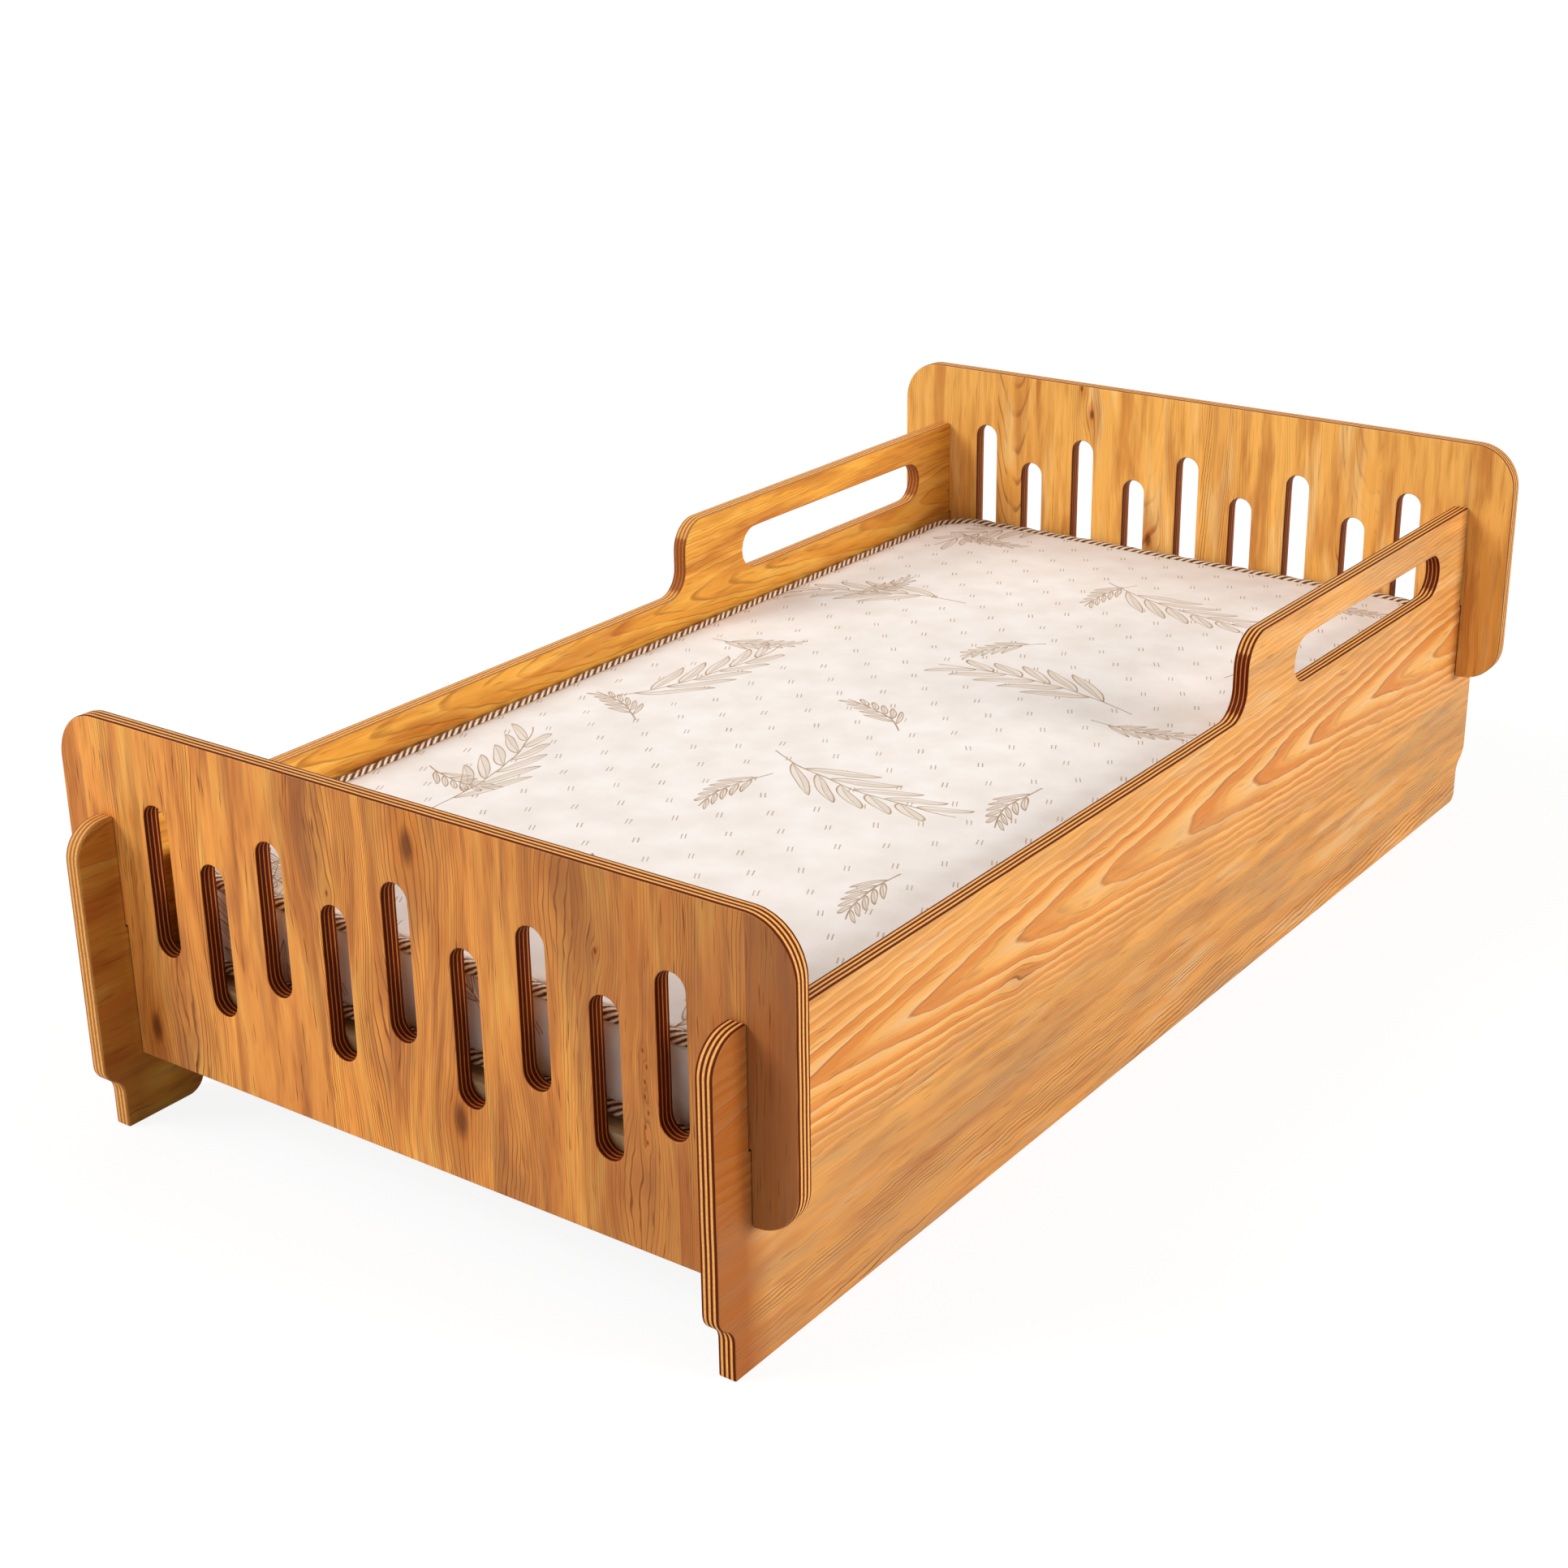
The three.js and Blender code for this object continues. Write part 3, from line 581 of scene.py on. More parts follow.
# End boards
# Each is one sheet of the same plywood with upright grain, glued up from planks, with nine
# slots and two ears. They drop over the side panels in half-lap slots.
slots_height = 0.242  # all nine slots of a board pass this height
board_log = dict(
    panel_log,
    seed=4.1,
    knots=[
        (20, 377, 9, 60),
        (61, 130, 9, 42),
        (-328, 105, 8, 22),
        (-81, 308, 1.6, 9),
        (222, 336, 1.6, 8),
        *[(269 + 2 * math.sin(4 * i), 176 + 14 * i, 1.3, 5) for i in range(7)],
        (190, 372, 0.1, 48),
        (118, 104, 0.1, 38),
        (255, 128, 0.1, 40),
        (-88, 366, 0.1, 46),
        (-283, 112, 0.1, 44),
        (-20, 200, 0.1, 40),
    ],
    # The planks grow darker towards the right end: partly the wood's own tone and partly painted shade,
    # deepest on the right ear where the nose's shadow falls
    planks=[
        (-430, -560, 0, 0.6, 0.35),
        (-337, -420, 0.12, 0.25, 0.05),
        (-281, -150, 0.04, 1, 0.5),
        (-217, -460, 0.14, 0.2, 0.05),
        (-95, -260, 0, 1, 0.6),
        (-18, -190, 0.05, 0.8, 0.5),
        (95, 330, 0.22, 0.7, 0.3),
        (199, 420, 0.46, 0.6, 0.2),
        (300, 520, 0.58, 0.9, 0.15),
        (372, 560, 0.86, 0.8, 0),
    ],
    nose_painted_shade=0, lower_painted_shade=0, ember=0.55, wave=480, sway=18, ripple=5, heart_depth=46,
    lean_depth=0.07, sway_depth=14, ring=9, taper=0, crowd=0, fine=3, cloud=170, gloom=0.62,
    dark_tone="#8a5432", smudge=150, smudged=0.62, smudge_colour="#8e5636", resin=0.7,
    # Within this box the slots' walls are darker: partly scorch, partly painted shade
    scorched_and_shaded=(140, 345, -372, 372),
    colours=["#ffbc5c", "#fba950", "#e88634", "#c06a2a", "#7c3c0e", "#f29c4a", "#c87a3a", "#6b300b"],
)
head_log = dict(
    board_log,
    seed=12.7,
    knots=[
        (-140, 427, 3.4, 16),
        (-156, 459, 2, 8),
        (-52, 275, 5, 20),
        (215, 300, 2.5, 10),
    ],
    planks=[
        (-430, -520, 0.04, 0.4, 0.2),
        (-281, -252, 0.06, 0.55, 0.3),
        (-224, -430, 0, 0.15, 0),
        (-195, -330, 0, 0.9, 0.6),
        (-160, -60, 0, 0.12, 0.05),
        (-35, 80, 0.02, 0.5, 0.35),
        (20, -60, 0.1, 1, 0.5),
        (66, 250, 0, 0.45, 0.25),
        (160, 250, 0.05, 0.3, 0.15),
        (260, 480, 0.08, 0.2, 0.05),
        (372, 560, 0.14, 0.3, 0),
    ],
    burnt=0.85, heart_depth=84, lean_depth=-0.085, gloom=0.45, dark_tone="#a8602e",
    smudged=0.28, smudge_colour="#a05c34", resin=0.3, ember=0.52,
    # Within this box the slots' walls are darker: partly scorch, partly painted shade
    scorched_and_shaded=(140, 400, -372, 372),
    colours=["#ffd082", "#fdbc5e", "#e8922e", "#bc6c2c", "#8a4414", "#fbbc60", "#e09a4a", "#7a3b12"],
)

for node, body, start, log in (
    ("footboard", "foot_end", -716.0, board_log),
    ("headboard", "head_end", 705.0, head_log),
):
    piece = cut_sheet(node, node + "_sheet", 1, [(2, slots_height)], lambda edge: True)
    finish = varnished_pine_plywood("varnished_pine_plywood_" + node, (2, 0, 1), start, log)
    piece.data.materials.append(finish)
    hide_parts(node)
    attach(piece, body)


# Slats and cleats
# Planed pine battens without varnish, with eased edges. The cleats are screwed to the side
# panels from inside, and a countersunk screw holds each slat's ends down on them.
batten_round = 0.0015
shortest_rim = 0.015  # shorter sharp edges, at the screw holes, aren't eased
slat_count = 12
slat_pitch = 116.4  # mm


def planed_pine(name, axes, seed):
    """Raw planed pine: pale, fine straight rings, dull. Each slat is cut from a plank of its own."""
    finish, add = new_finish(name)
    along, across, thick = place_in_mm(add, axes)
    planks = []
    for i in range(slat_count):
        heart = -760.0 + slat_pitch * (i + i * i % 3)
        planks.append((-700.0 + slat_pitch * i, heart, 0.1 * (i % 4), 1, 1))
    number, heart, tone, *_ = glued_planks(add, across, planks)
    deep = add("Math MULTIPLY_ADD", [number, planks_apart, thick])
    straight = dict(knots=[], ring=7.0, taper=0.0, crowd=0.0, heart_depth=60.0, lean_depth=0.03)
    log = dict(panel_log, seed=seed, **straight)
    count, *_ = pine_rings(add, along, across, deep, heart, log)
    ring = [(0.0, "#000000"), (0.7, "#707070"), (0.93, "#ffffff"), (1.0, "#101010")]
    late = add("ValToRGB", [add("Math FRACT", [count])], ring)
    late = add("Math MULTIPLY", [late, 0.5])
    toned = add("MixRGB", [tone, "#e2c08c", "#c09660"])
    ringed = add("MixRGB", [late, toned, "#b9834a"])
    fibre = stretched(add, (along, across, thick), 60.0, 1.5, seed, 3.0, (0.3, 0.7, 0.9, 1.07))
    surface = {
        "Base Color": add("VectorMath SCALE", {0: ringed, "Scale": fibre}),
        "Roughness": 0.62,
        "Normal": add("Bump", {"Height": fibre, "Strength": 0.25, "Distance": 0.0005}),
        "IOR": 1.5,
    }
    add("OutputMaterial", [add("BsdfPrincipled", surface)])
    return finish


slat_pine = planed_pine("planed_pine_slat", (0, 1, 2), 3.4)
cleat_pine = planed_pine("planed_pine_cleat", (1, 2, 0), 6.2)
for node in sorted(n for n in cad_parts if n.startswith("slat_") or n.endswith("_cleat")):
    low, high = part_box(node)
    middle = (low + high) / 2
    is_slat = node.startswith("slat_")
    seams = [(1, middle.y)] if is_slat else [(0, middle.x), (2, pilot_height)]
    piece = copy_of_node(node, node + "_batten", seams)
    bevel_edges(
        piece,
        lambda e: edge_angle(e) > sharp_over and e.calc_length() > shortest_rim,
        offset=batten_round,
        segments=3,
    )
    smooth_shading(piece)
    piece.data.materials.append(slat_pine if is_slat else cleat_pine)
    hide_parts(node)
    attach(piece, "frame")


# Screws
# Countersunk cross-head wood screws of zinc-plated steel: one at each end of each slat, down
# into the cleats, and five in each cleat, driven from inside the bed into the side panels.
head_radius = 0.004
head_rim = 0.0003
head_height = 0.0026
shank_radius = 0.0016
shank_length = 0.011
point_length = 0.005
point_radius = 0.0004
screw_length = 0.0302
thread_pitch = 0.0018
thread_height = 0.0005
thread_steps = 14
recess_length = 0.0044
recess_width = 0.0009
recess_depth = 0.0019
recess_end_share = 0.45  # the recess's length at its bottom, of that at its mouth
recess_side_share = 0.6


def turn_faces_out():
    """Turns every face of the piece in edit mode outwards, and leaves edit mode."""
    bpy.ops.mesh.select_all(action="SELECT")
    bpy.ops.mesh.normals_make_consistent(inside=False)
    bpy.ops.object.mode_set(mode="OBJECT")


def zinc_plated_steel():
    """Bright zinc on steel: cool grey, with the faint yellow and blue tint of the passivation."""
    finish, add = new_finish("zinc_plated_steel")
    place = add("TexCoord").outputs["Object"]
    tint = add("TexNoise", {"Vector": place, "Scale": 700.0, "Detail": 2.0})
    grain = add("TexNoise", {"Vector": place, "Scale": 4000.0, "Detail": 2.0})
    surface = {
        "Base Color": add("ValToRGB", [tint], [(0.35, "#b9bec6"), (0.65, "#cdc7b0")]),
        "Metallic": 1.0,
        "Roughness": add("MapRange", [grain, 0.0, 1.0, 0.25, 0.45]),
        "Normal": add("Bump", {"Height": grain, "Strength": 0.1, "Distance": 0.0001}),
    }
    add("OutputMaterial", [add("BsdfPrincipled", surface)])
    return finish


bpy.ops.mesh.primitive_circle_add(vertices=24, radius=head_radius, fill_type="NGON")
screw = bpy.context.object
edit_all(screw)
shaft_length = screw_length - head_height - point_length
for down, widen in (
    (head_rim, 1.0),
    (head_height - head_rim, shank_radius / head_radius),
    (shaft_length, 1.0),
    (point_length, point_radius / shank_radius),
):
    bpy.ops.mesh.extrude_region_move(TRANSFORM_OT_translate={"value": (0, 0, -down)})
    bpy.ops.transform.resize(value=(widen, widen, 1))
turn_faces_out()

cross = []
for turn, narrow in (
    (0, (recess_end_share, recess_side_share, 1)),
    (90, (recess_side_share, recess_end_share, 1)),
):
    bpy.ops.mesh.primitive_cube_add(size=1, scale=(recess_length, recess_width, 2 * recess_depth))
    bar = bpy.context.object
    bar.rotation_euler.z = math.radians(turn)
    bpy.ops.object.mode_set(mode="EDIT")
    bpy.ops.mesh.select_mode(type="FACE")
    bpy.ops.mesh.select_all(action="DESELECT")
    mesh = bmesh.from_edit_mesh(bar.data)
    for face in mesh.faces:
        face.select_set(face.normal.z < -0.9)
    bmesh.update_edit_mesh(bar.data)
    bpy.ops.transform.resize(value=narrow)
    bpy.ops.object.mode_set(mode="OBJECT")
    add_modifier(screw, "BOOLEAN", operation="DIFFERENCE", solver="EXACT", object=bar)
    cross.append(bar)
apply_modifiers(screw)
for bar in cross:
    bpy.data.objects.remove(bar)

bpy.ops.mesh.primitive_circle_add(
    vertices=3,
    radius=thread_height,
    location=(shank_radius, 0, -head_height - shank_length),
    rotation=(math.radians(90), 0, 0),
)
thread = bpy.context.object
bpy.ops.object.transform_apply(location=True, rotation=True, scale=True)
winding = add_modifier(thread, "SCREW", screw_offset=-thread_pitch, use_merge_vertices=False)
winding.iterations = int((shaft_length - shank_length) / thread_pitch)
winding.steps = thread_steps
winding.render_steps = thread_steps
apply_modifiers(thread)
bpy.ops.object.mode_set(mode="EDIT")
bpy.ops.mesh.select_mode(type="EDGE")
bpy.ops.mesh.select_all(action="DESELECT")
bpy.ops.mesh.select_non_manifold()
bpy.ops.mesh.edge_face_add()
turn_faces_out()
select_only(screw)
thread.select_set(True)
bpy.ops.object.join()
bpy.ops.object.shade_smooth_by_angle(angle=math.radians(smooth_under))
screw.data.materials.append(zinc_plated_steel())

draw = random.Random(7)
for node in sorted(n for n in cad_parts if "_screw_" in n):
    low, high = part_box(node)
    middle = (low + high) / 2
    side = 1 if middle.x > 0 else -1
    if "_cleat_screw_" in node:
        head = Vector((low.x if side > 0 else high.x, middle.y, middle.z))
        tilt = Matrix.Rotation(-side * math.pi / 2, 4, "Y")
    else:
        head = Vector((middle.x, middle.y, high.z))
        tilt = Matrix.Identity(4)
    piece = add_object(node + "_zinc", screw.data.copy())
    spin = Matrix.Rotation(draw.uniform(0, math.pi), 4, "Z")
    piece.data.transform(Matrix.Translation(head) @ tilt @ spin)
    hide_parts(node)
    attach(piece, "frame")
bpy.data.objects.remove(screw)


# Mattress
# A foam core in a soft knit cover, sewn from a top, a bottom and a side wall. It lies loose on
# the slats. The cover is a little too large for the foam, so it puckers along the seams.
mattress_low, mattress_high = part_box("mattress")
outline_low, outline_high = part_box("upper_binding")
mattress_middle = (outline_low.y + outline_high.y) / 2
half_width = outline_high.x
half_length = (outline_high.y - outline_low.y) / 2
corner_radius = 0.060
straight_half = Vector((half_width - corner_radius, half_length - corner_radius))
lower_seam = sum(corner.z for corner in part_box("lower_binding")) / 2
upper_seam = sum(corner.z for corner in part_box("upper_binding")) / 2
cord_width = 0.014
seam_inset = cord_width + 0.0003  # how far in a seam lies
seam_flat = 0.002  # half the height of a seam's floor
seam_slope = 0.008  # the walls slope in to a seam over this height
wall_inset = 0.0045  # how far in the walls lie
wall_reach = 0.03
edge_lift = 0.003
slope_reach = 0.045  # the top slopes down to its cord over this length
slope_power = 1.4
gather_length = 0.024
gather_height = 0.05
gather_depth = 0.0016
gather_reach = 0.045
cover_voxel = 0.008
sewn_height = 0.006
sewn_inset = 0.016
swell_on_top = 0.002
swell_on_walls = 0.004
cloth_frames = 20
line_width = 0.9  # mm, half a drawn line
lean = math.radians(31)  # of a leaf from its stem
hatch_pitch = 3.2  # mm
tick_row = 33.5  # mm
tick_column = 62.0  # mm
tick_length = 12.0  # mm
tick_gap = 4.2  # mm
tick_slant = math.radians(28.3)  # from the bed's length
knit_loop = 2.2  # mm, coarser than the real knit so that it shows


def round_the_edge(x, y):
    """How far a point lies inside the mattress outline, and how far round it, in metres."""
    y = y - mattress_middle
    past = Vector((max(abs(x) - straight_half.x, 0), max(abs(y) - straight_half.y, 0)))
    if past.x > 0 and past.y > 0:
        inset = corner_radius - past.length
        along = straight_half.y + corner_radius * math.atan2(past.y, past.x)
    elif half_width - abs(x) < half_length - abs(y):
        inset = half_width - abs(x)
        along = abs(y)
    else:
        inset = half_length - abs(y)
        along = straight_half.y + corner_radius * math.pi / 2 + straight_half.x - abs(x)
    quarter = straight_half.x + straight_half.y + corner_radius * math.pi / 2
    if x >= 0:
        return inset, along if y >= 0 else -along
    return inset, 2 * quarter - along if y >= 0 else along - 2 * quarter


def cell_place(add, cells, size):
    """How far in mm a point lies from the middle of its cell, from its place in cells."""
    return add("Math MULTIPLY_ADD", [add("Math FRACT", [cells]), size, -size / 2])


def leaf_sprig(add, across, along, cell, size, seed):
    """Line-drawn leaf sprigs, one in each square of a half-drop grid, each turned its own way.

    Cell and size are in mm. Gives the ink of the drawn lines and the tint inside the leaves.
    """
    column = add("Math MULTIPLY_ADD", [across, 1 / cell, seed])
    column_number = add("Math FLOOR", [column])
    lowered = add("Math MULTIPLY", [column_number, 0.5])
    row = add("Math MULTIPLY_ADD", [along, 1 / cell, lowered])
    which = add("CombineXYZ", [column_number, add("Math FLOOR", [row]), seed])
    chance = add("TexWhiteNoise", [which]).outputs["Value"]
    turn = add("Math MULTIPLY", [chance, 2 * math.pi])
    local = add("CombineXYZ", [cell_place(add, column, cell), cell_place(add, row, cell)])
    turned = add("VectorRotate", {"Vector": local, "Angle": turn}, rotation_type="Z_AXIS")
    x, y, _ = add("SeparateXYZ", [turned]).outputs

    # The stem bends, and its leaves stand at its sides in turn, larger towards its foot
    bend = add("Math MULTIPLY", [y, y])
    x = add("Math MULTIPLY_ADD", [bend, 0.35 / size, x])
    x = add("Math SUBTRACT", [x, 0.06 * size])
    side = add("Math ABSOLUTE", [x])
    leaf_pitch, leaf_length, leaf_width = 0.15 * size, 0.33 * size, 0.027 * size
    base = add("Math MULTIPLY_ADD", [side, -1 / math.tan(lean), y])
    base = add("Math MULTIPLY_ADD", [add("Math SIGN", [x]), leaf_pitch / 4, base])
    number = add("Math ROUND", [add("Math MULTIPLY", [base, 1 / leaf_pitch])])
    stalk = add("Math MULTIPLY", [number, leaf_pitch])
    off = add("Math SUBTRACT", [base, stalk])
    off = add("Math MULTIPLY", [off, math.sin(lean)])
    grown = add("MapRange", [stalk, -0.5 * size, 0.5 * size, 1.15, 0.45])
    out = add("Math MULTIPLY", [side, 1 / (math.sin(lean) * leaf_length)])
    out = add("Math DIVIDE", [out, grown])
    rest = add("Math SUBTRACT", [1.0, out])
    belly = add("Math MULTIPLY", [out, rest])
    belly = add("Math MULTIPLY", [belly, 4 * leaf_width])

    # Each leaf has a drawn rim and vein, and hatching on one half
    width = add("Math ABSOLUTE", [off])
    rim = add("Math SUBTRACT", [width, belly])
    inner = add("MapRange", [rim, 0.4, -0.4])
    rim = add("MapRange", [add("Math ABSOLUTE", [rim]), line_width, 0.3 * line_width])
    vein = add("MapRange", [width, 0.8 * line_width, 0.2 * line_width, 0.0, 0.7])
    hatch = add("Math FRACT", [add("Math MULTIPLY", [out, leaf_length / hatch_pitch])])
    hatch = add("Math LESS_THAN", [hatch, 0.35])
    for part in (inner, add("Math GREATER_THAN", [off, 0.0]), 0.45):
        hatch = add("Math MULTIPLY", [hatch, part])
    ink = add("Math MAXIMUM", [rim, vein])
    ink = add("Math MAXIMUM", [ink, hatch])
    on_stem = add("Math LESS_THAN", [add("Math ABSOLUTE", [stalk]), 0.42 * size])
    grows = add("Math MULTIPLY", [add("Math GREATER_THAN", [rest, 0.0]), on_stem])
    ink = add("Math MULTIPLY", [ink, grows])
    inner = add("Math MULTIPLY", [inner, grows])
    stem = add("MapRange", [side, 1.3 * line_width, 0.5 * line_width])
    reaches = add("Math LESS_THAN", [add("Math ABSOLUTE", [y]), 0.5 * size])
    stem = add("Math MULTIPLY", [stem, reaches])
    return add("Math MAXIMUM", [ink, stem]), inner


def paired_ticks(add, across, along):
    """The ink of the knit's small paired ticks, slanted, in half-drop rows."""
    row = add("Math MULTIPLY", [across, 1 / tick_row])
    lowered = add("Math MULTIPLY", [add("Math FLOOR", [row]), 0.5])
    column = add("Math MULTIPLY_ADD", [along, 1 / tick_column, lowered])
    middle = [cell_place(add, row, tick_row), cell_place(add, column, tick_column)]
    local = add("CombineXYZ", middle)
    sideways = (math.cos(tick_slant), math.sin(tick_slant), 0)
    lengthways = (-math.sin(tick_slant), math.cos(tick_slant), 0)
    beside = add("VectorMath DOT_PRODUCT", [local, sideways]).outputs["Value"]
    beside = add("Math SUBTRACT", [add("Math ABSOLUTE", [beside]), tick_gap / 2])
    tick = add("MapRange", [add("Math ABSOLUTE", [beside]), 0.9, 0.4])
    end = add("VectorMath DOT_PRODUCT", [local, lengthways]).outputs["Value"]
    end = add("MapRange", [add("Math ABSOLUTE", [end]), tick_length / 2, tick_length / 2 - 1.0])
    tick = add("Math MULTIPLY", [tick, end])
    return add("Math MULTIPLY", [tick, 0.75])


def knit_ticking():
    """Cream knit ticking: soft and matt, with small paired ticks and line-drawn leaf sprigs."""
    finish, add = new_finish("knit_ticking")
    place = add("UVMap", uv_map="cover").outputs["UV"]
    scaled = add("VectorMath SCALE", {0: place, "Scale": 1000.0})
    stretch = add("TexNoise", {"Vector": scaled, "Scale": 0.012, "Detail": 1.0}).outputs["Color"]
    stretch = add("VectorMath SCALE", {0: stretch, "Scale": 14.0})
    drawn = add("VectorMath ADD", [scaled, stretch])
    across, along, _ = add("SeparateXYZ", [drawn]).outputs
    large_ink, large_tint = leaf_sprig(add, across, along, 340.0, 250.0, 0.17)
    small_ink, small_tint = leaf_sprig(add, across, along, 250.0, 110.0, 3.43)
    ink = add("Math MAXIMUM", [large_ink, small_ink])
    tint = add("Math MAXIMUM", [large_tint, small_tint])
    bare = add("Math SUBTRACT", [1.0, tint])
    tick = add("Math MULTIPLY", [paired_ticks(add, across, along), bare])
    ink = add("Math MAXIMUM", [ink, tick])
    worn = add("TexNoise", {"Vector": scaled, "Scale": 0.05, "Detail": 3.0})
    worn = add("MapRange", [worn, 0.3, 0.7, 0.65, 1.0])
    ink = add("Math MULTIPLY", [ink, worn])
    shade = add("TexNoise", {"Vector": scaled, "Scale": 0.02, "Detail": 3.0})
    cloth = add("ValToRGB", [shade], [(0.35, "#e9dfd6"), (0.65, "#f1e9e3")])
    tint = add("Math MULTIPLY", [tint, 0.35])
    cloth = add("MixRGB", [tint, cloth, "#d8c3a8"])
    knit = add("TexVoronoi", {"Vector": scaled, "Scale": 1 / knit_loop})
    surface = {
        "Base Color": add("MixRGB", [ink, cloth, "#93672c"]),
        "Roughness": 0.9,
        "Normal": add("Bump", {"Height": knit, "Strength": 0.25, "Distance": 0.0005}),
        "Specular IOR Level": 0.2,
        "Sheen Weight": 0.15,
        "Sheen Roughness": 0.5,
    }
    add("OutputMaterial", [add("BsdfPrincipled", surface)])
    return finish


mattress = copy_of_node("mattress", "bound_mattress", [])
mattress.data.remesh_voxel_size = cover_voxel
bpy.ops.object.voxel_remesh()
start = [v.co.copy() for v in mattress.data.vertices]
sewn = mattress.vertex_groups.new(name="sewn")
for vertex in mattress.data.vertices:
    inset, _ = round_the_edge(vertex.co.x, vertex.co.y)
    seam = min(abs(vertex.co.z - lower_seam), abs(vertex.co.z - upper_seam))
    is_at_seam = inset < sewn_inset and seam < sewn_height
    if vertex.co.z < mattress_low.z + sewn_height or is_at_seam:
        sewn.add([vertex.index], 1.0, "REPLACE")
cloth = add_modifier(mattress, "CLOTH")
fabric = cloth.settings
fabric.quality = 4
fabric.mass = 0.3
fabric.tension_stiffness = 12
fabric.compression_stiffness = 12
fabric.bending_stiffness = 0.6
fabric.use_pressure = True
fabric.uniform_pressure_force = 4
fabric.shrink_min = -0.02
fabric.vertex_group_mass = "sewn"
fabric.effector_weights.gravity = 0
cloth.collision_settings.use_collision = False
cloth.point_cache.frame_start = 1
cloth.point_cache.frame_end = cloth_frames
for step in range(1, cloth_frames + 1):
    bpy.context.scene.frame_set(step)
swollen = mattress.evaluated_get(bpy.context.evaluated_depsgraph_get())
moved = [v.co.copy() for v in swollen.data.vertices]
mattress.modifiers.remove(cloth)
mattress.vertex_groups.remove(sewn)
bpy.context.scene.frame_set(1)
for vertex, before, after in zip(mattress.data.vertices, start, moved):
    limit = swell_on_top if before.z > upper_seam else swell_on_walls
    move = after - before
    vertex.co = before + move * min(1.0, limit / max(move.length, 1e-9))
add_modifier(mattress, "SUBSURF", levels=1, render_levels=1)
apply_modifiers(mattress)

for vertex in mattress.data.vertices:
    x, y, z = vertex.co
    inset, along = round_the_edge(x, y)
    seam = min(abs(z - lower_seam), abs(z - upper_seam))
    gather = noise.noise(Vector((along / gather_length, z / gather_height, 3.0)))
    near_seam = max(0.0, 1.0 - max(seam, inset if z > upper_seam else 0) / gather_reach)
    shift = gather_depth * gather * near_seam
    if z > upper_seam and inset > seam_inset:
        rise = 1 - max(0.0, 1 - (inset - seam_inset) / slope_reach) ** slope_power
        crown = upper_seam + edge_lift + (mattress_high.z - upper_seam) * rise
        vertex.co.z = min(z, crown) + shift
    elif inset < wall_reach:
        wanted = seam_inset * min(1.0, max(0.0, 1 - (seam - seam_flat) / seam_slope))
        push = max(0.0, wanted - inset, wall_inset - inset) + max(shift, 0)
        near_x = max(-straight_half.x, min(straight_half.x, x))
        near_y = max(-straight_half.y, min(straight_half.y, y - mattress_middle))
        inward = Vector((near_x, mattress_middle + near_y)) - Vector((x, y))
        if inward.length > 1e-6:
            inward.normalize()
            vertex.co.x += inward.x * push
            vertex.co.y += inward.y * push

cover = mattress.data.uv_layers.new(name="cover")
for face in mattress.data.polygons:
    on_top = face.normal.z > 0.5 and face.center.z > upper_seam - seam_flat
    _, centre_along = round_the_edge(face.center.x, face.center.y)
    for corner in face.loop_indices:
        x, y, z = mattress.data.vertices[mattress.data.loops[corner].vertex_index].co
        if on_top or face.normal.z < -0.5:
            cover.data[corner].uv = (x, y)
        else:
            _, along = round_the_edge(x, y)
            if abs(along - centre_along) > 1.0:
                along = centre_along
            cover.data[corner].uv = (along, z + 2.0)
select_only(mattress)
bpy.ops.object.shade_smooth()
mattress.data.materials.append(knit_ticking())
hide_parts("mattress")
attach(mattress, "bedding")


# Bindings
# The cord that edges the mattress along both seams: a core overlocked with dark brown and
# cream thread, so that slanted bars of thread run round it. It is sewn into the seam.
binding_radius = (outline_high.z - outline_low.z) / 2
bar_pitch = 0.0105
turn_links = 6  # bars in one turn of the cord
cord_height = 0.012
cord_sides = 12
cord_rings = 18
cord_flat_share = 0.86  # the link's height, of its width
corner_steps = 16
link_weld = 0.00005
cord_weld = 0.0001


def overlock_thread():
    """Overlocked polyester thread: slanted dark and cream bars, slightly fuzzy and dull."""
    finish, add = new_finish("overlock_thread")
    place = add("UVMap", uv_map="cord").outputs["UV"]
    _, turned, _ = add("SeparateXYZ", [place]).outputs
    ragged = add("TexNoise", {"Vector": place, "Scale": 200.0, "Detail": 2.0})
    ragged = add("Math MULTIPLY", [ragged, 0.9])
    bar = add("Math FRACT", [add("Math MULTIPLY_ADD", [turned, turn_links, ragged])])
    threads = [
        (0.0, "#3a1406"),
        (0.42, "#52200c"),
        (0.52, "#f0c89c"),
        (0.70, "#ffe8c8"),
        (0.92, "#f0c89c"),
        (1.0, "#3a1406"),
    ]
    bars = add("ValToRGB", [bar], threads)
    surface = {"Base Color": bars, "Roughness": 0.85, "Sheen Weight": 0.2}
    add("OutputMaterial", [add("BsdfPrincipled", surface)])
    return finish


path_half_width = half_width - cord_width / 2
path_half_length = half_length - cord_width / 2
path_radius = corner_radius - cord_width / 2
perimeter = 4 * (path_half_width + path_half_length - 2 * path_radius) + 2 * math.pi * path_radius
link_count = round(perimeter / (turn_links * bar_pitch))
link_length = perimeter / link_count

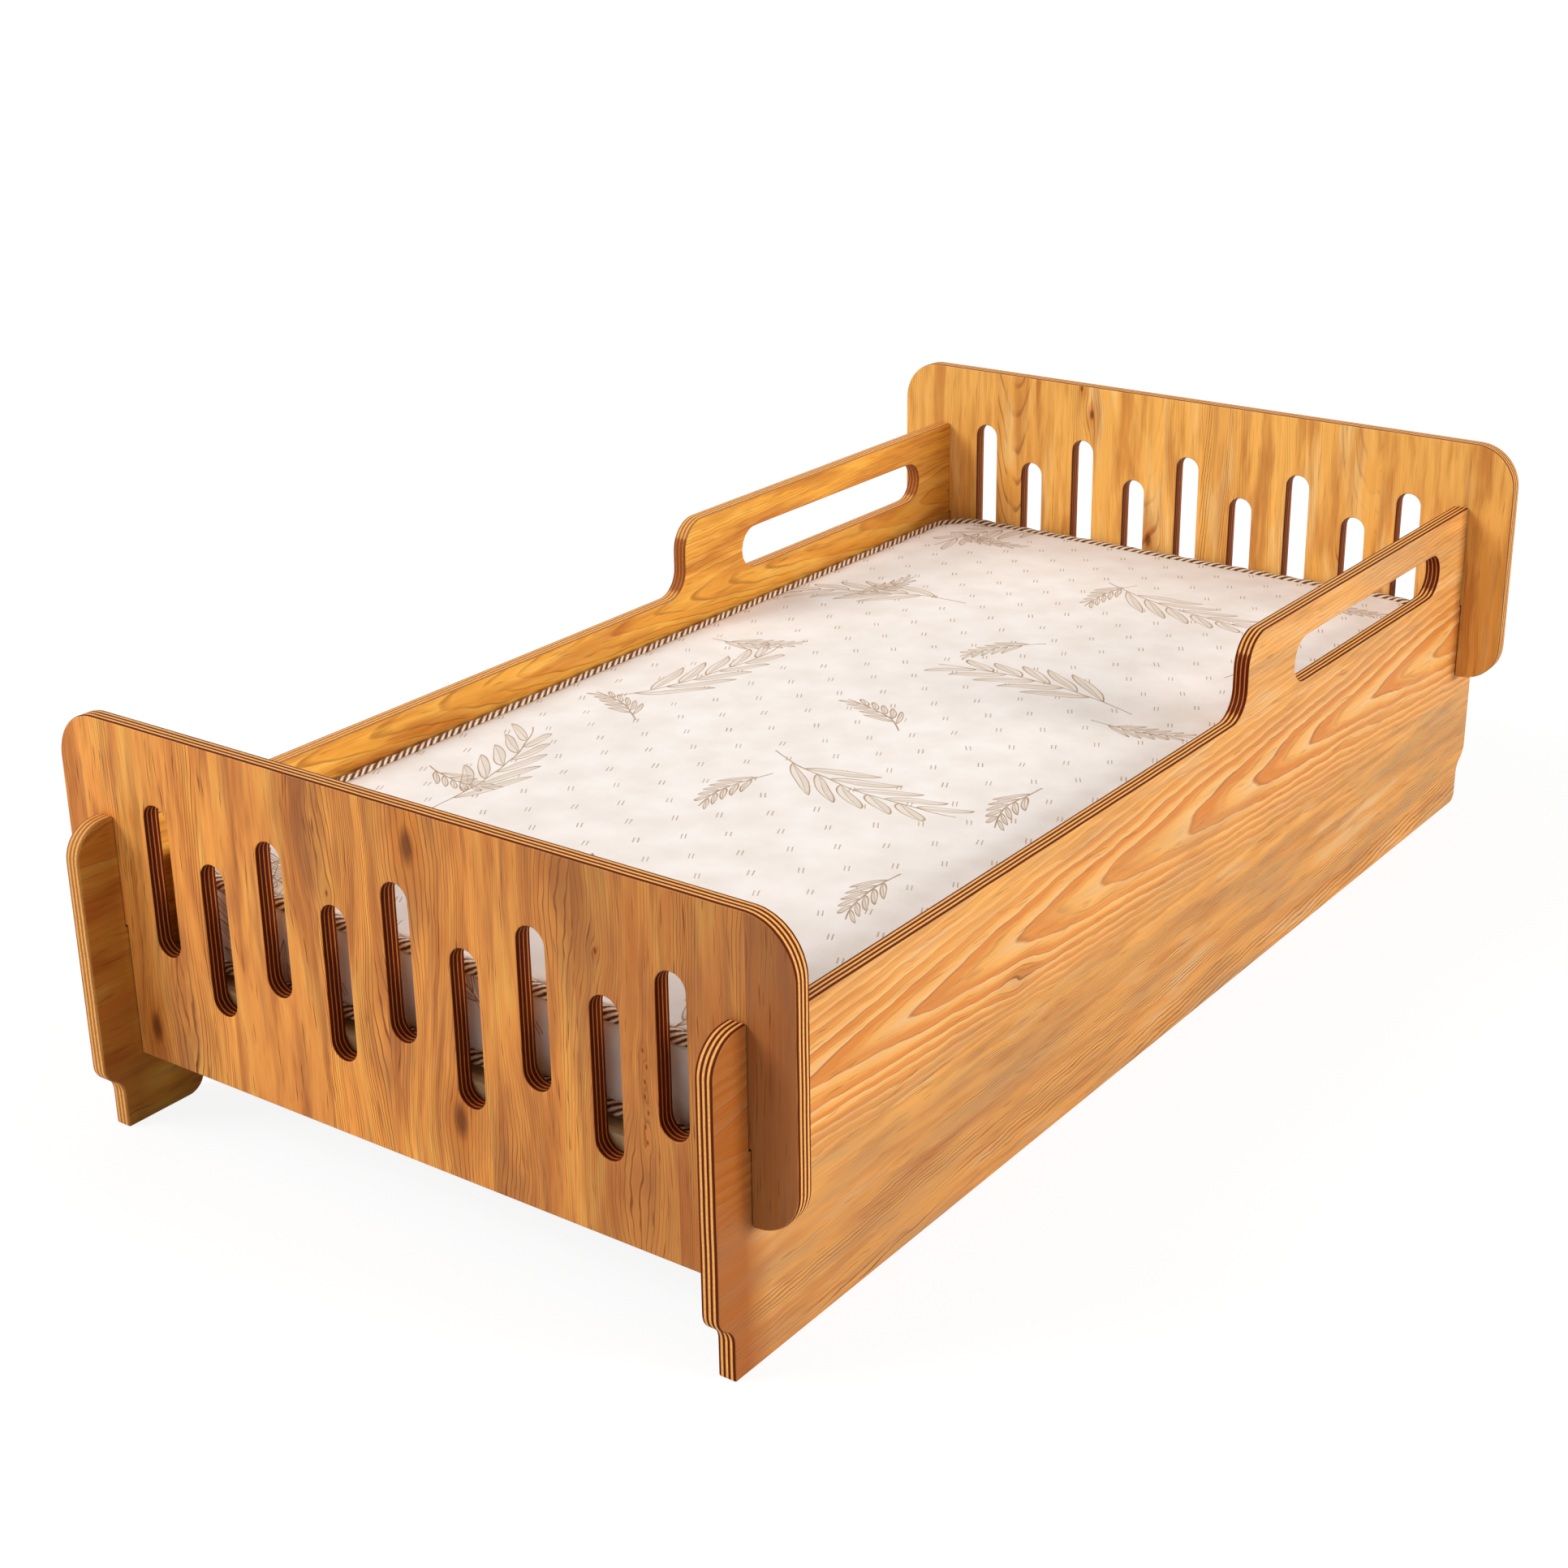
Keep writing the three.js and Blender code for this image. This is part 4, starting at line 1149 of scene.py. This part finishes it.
bpy.ops.mesh.primitive_cylinder_add(
    vertices=cord_sides,
    radius=binding_radius,
    depth=link_length,
    end_fill_type="NOTHING",
    location=(link_length / 2, 0, 0),
    rotation=(0, math.radians(90), 0),
)
link = bpy.context.object
bpy.ops.object.transform_apply(location=True, rotation=True, scale=True)
link.data.uv_layers.remove(link.data.uv_layers[0])
bpy.ops.object.mode_set(mode="EDIT")
for ring in range(1, cord_rings):
    bpy.ops.mesh.select_all(action="SELECT")
    bpy.ops.mesh.bisect(plane_co=(link_length * ring / cord_rings, 0, 0), plane_no=(1, 0, 0))
bpy.ops.mesh.select_all(action="SELECT")
bpy.ops.transform.resize(value=(1, 1, cord_flat_share))
bpy.ops.object.mode_set(mode="OBJECT")
around = link.data.uv_layers.new(name="cord")
for face in link.data.polygons:
    middle = math.atan2(face.center.z / cord_flat_share, face.center.y) / (2 * math.pi)
    for corner in face.loop_indices:
        x, y, z = link.data.vertices[link.data.loops[corner].vertex_index].co
        turn_share = math.atan2(z / cord_flat_share, y) / (2 * math.pi)
        turn_share += round(middle - turn_share)
        around.data[corner].uv = (x, turn_share)
add_modifier(link, "SIMPLE_DEFORM", deform_method="TWIST", deform_axis="X", angle=-2 * math.pi)
add_modifier(link, "ARRAY", count=link_count, use_merge_vertices=True, merge_threshold=link_weld)
apply_modifiers(link)
edit_all(link)
wider = cord_width / (2 * binding_radius)
taller = cord_height / (2 * binding_radius * cord_flat_share)
bpy.ops.transform.resize(value=(1, wider, taller), center_override=(0, 0, 0))
bpy.ops.object.mode_set(mode="OBJECT")

route = bpy.data.curves.new("binding_route", "CURVE")
route.dimensions = "2D"
line = route.splines.new("POLY")
places = []
for number, (right, up) in enumerate(((1, 1), (-1, 1), (-1, -1), (1, -1))):
    for step in range(corner_steps + 1):
        angle = (number + step / corner_steps) * math.pi / 2
        across = right * (path_half_width - path_radius) + path_radius * math.cos(angle)
        along = up * (path_half_length - path_radius) + path_radius * math.sin(angle)
        places.append((across, mattress_middle + along, 0, 1))
line.points.add(len(places) - 1)
for point, place in zip(line.points, places):
    point.co = place
line.use_cyclic_u = True
route_object = add_object("binding_route", route)

thread_finish = overlock_thread()
for node, seam in (("lower_binding", lower_seam), ("upper_binding", upper_seam)):
    piece = add_object(node + "_cord", link.data.copy())
    add_modifier(piece, "CURVE", object=route_object, deform_axis="POS_X")
    apply_modifiers(piece)
    edit_all(piece)
    bpy.ops.mesh.remove_doubles(threshold=cord_weld)
    bpy.ops.transform.translate(value=(0, 0, seam))
    turn_faces_out()
    bpy.ops.object.shade_smooth()
    piece.data.materials.append(thread_finish)
    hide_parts(node)
    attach(piece, "bedding")
bpy.data.objects.remove(route_object)
bpy.data.objects.remove(link)


low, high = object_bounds()
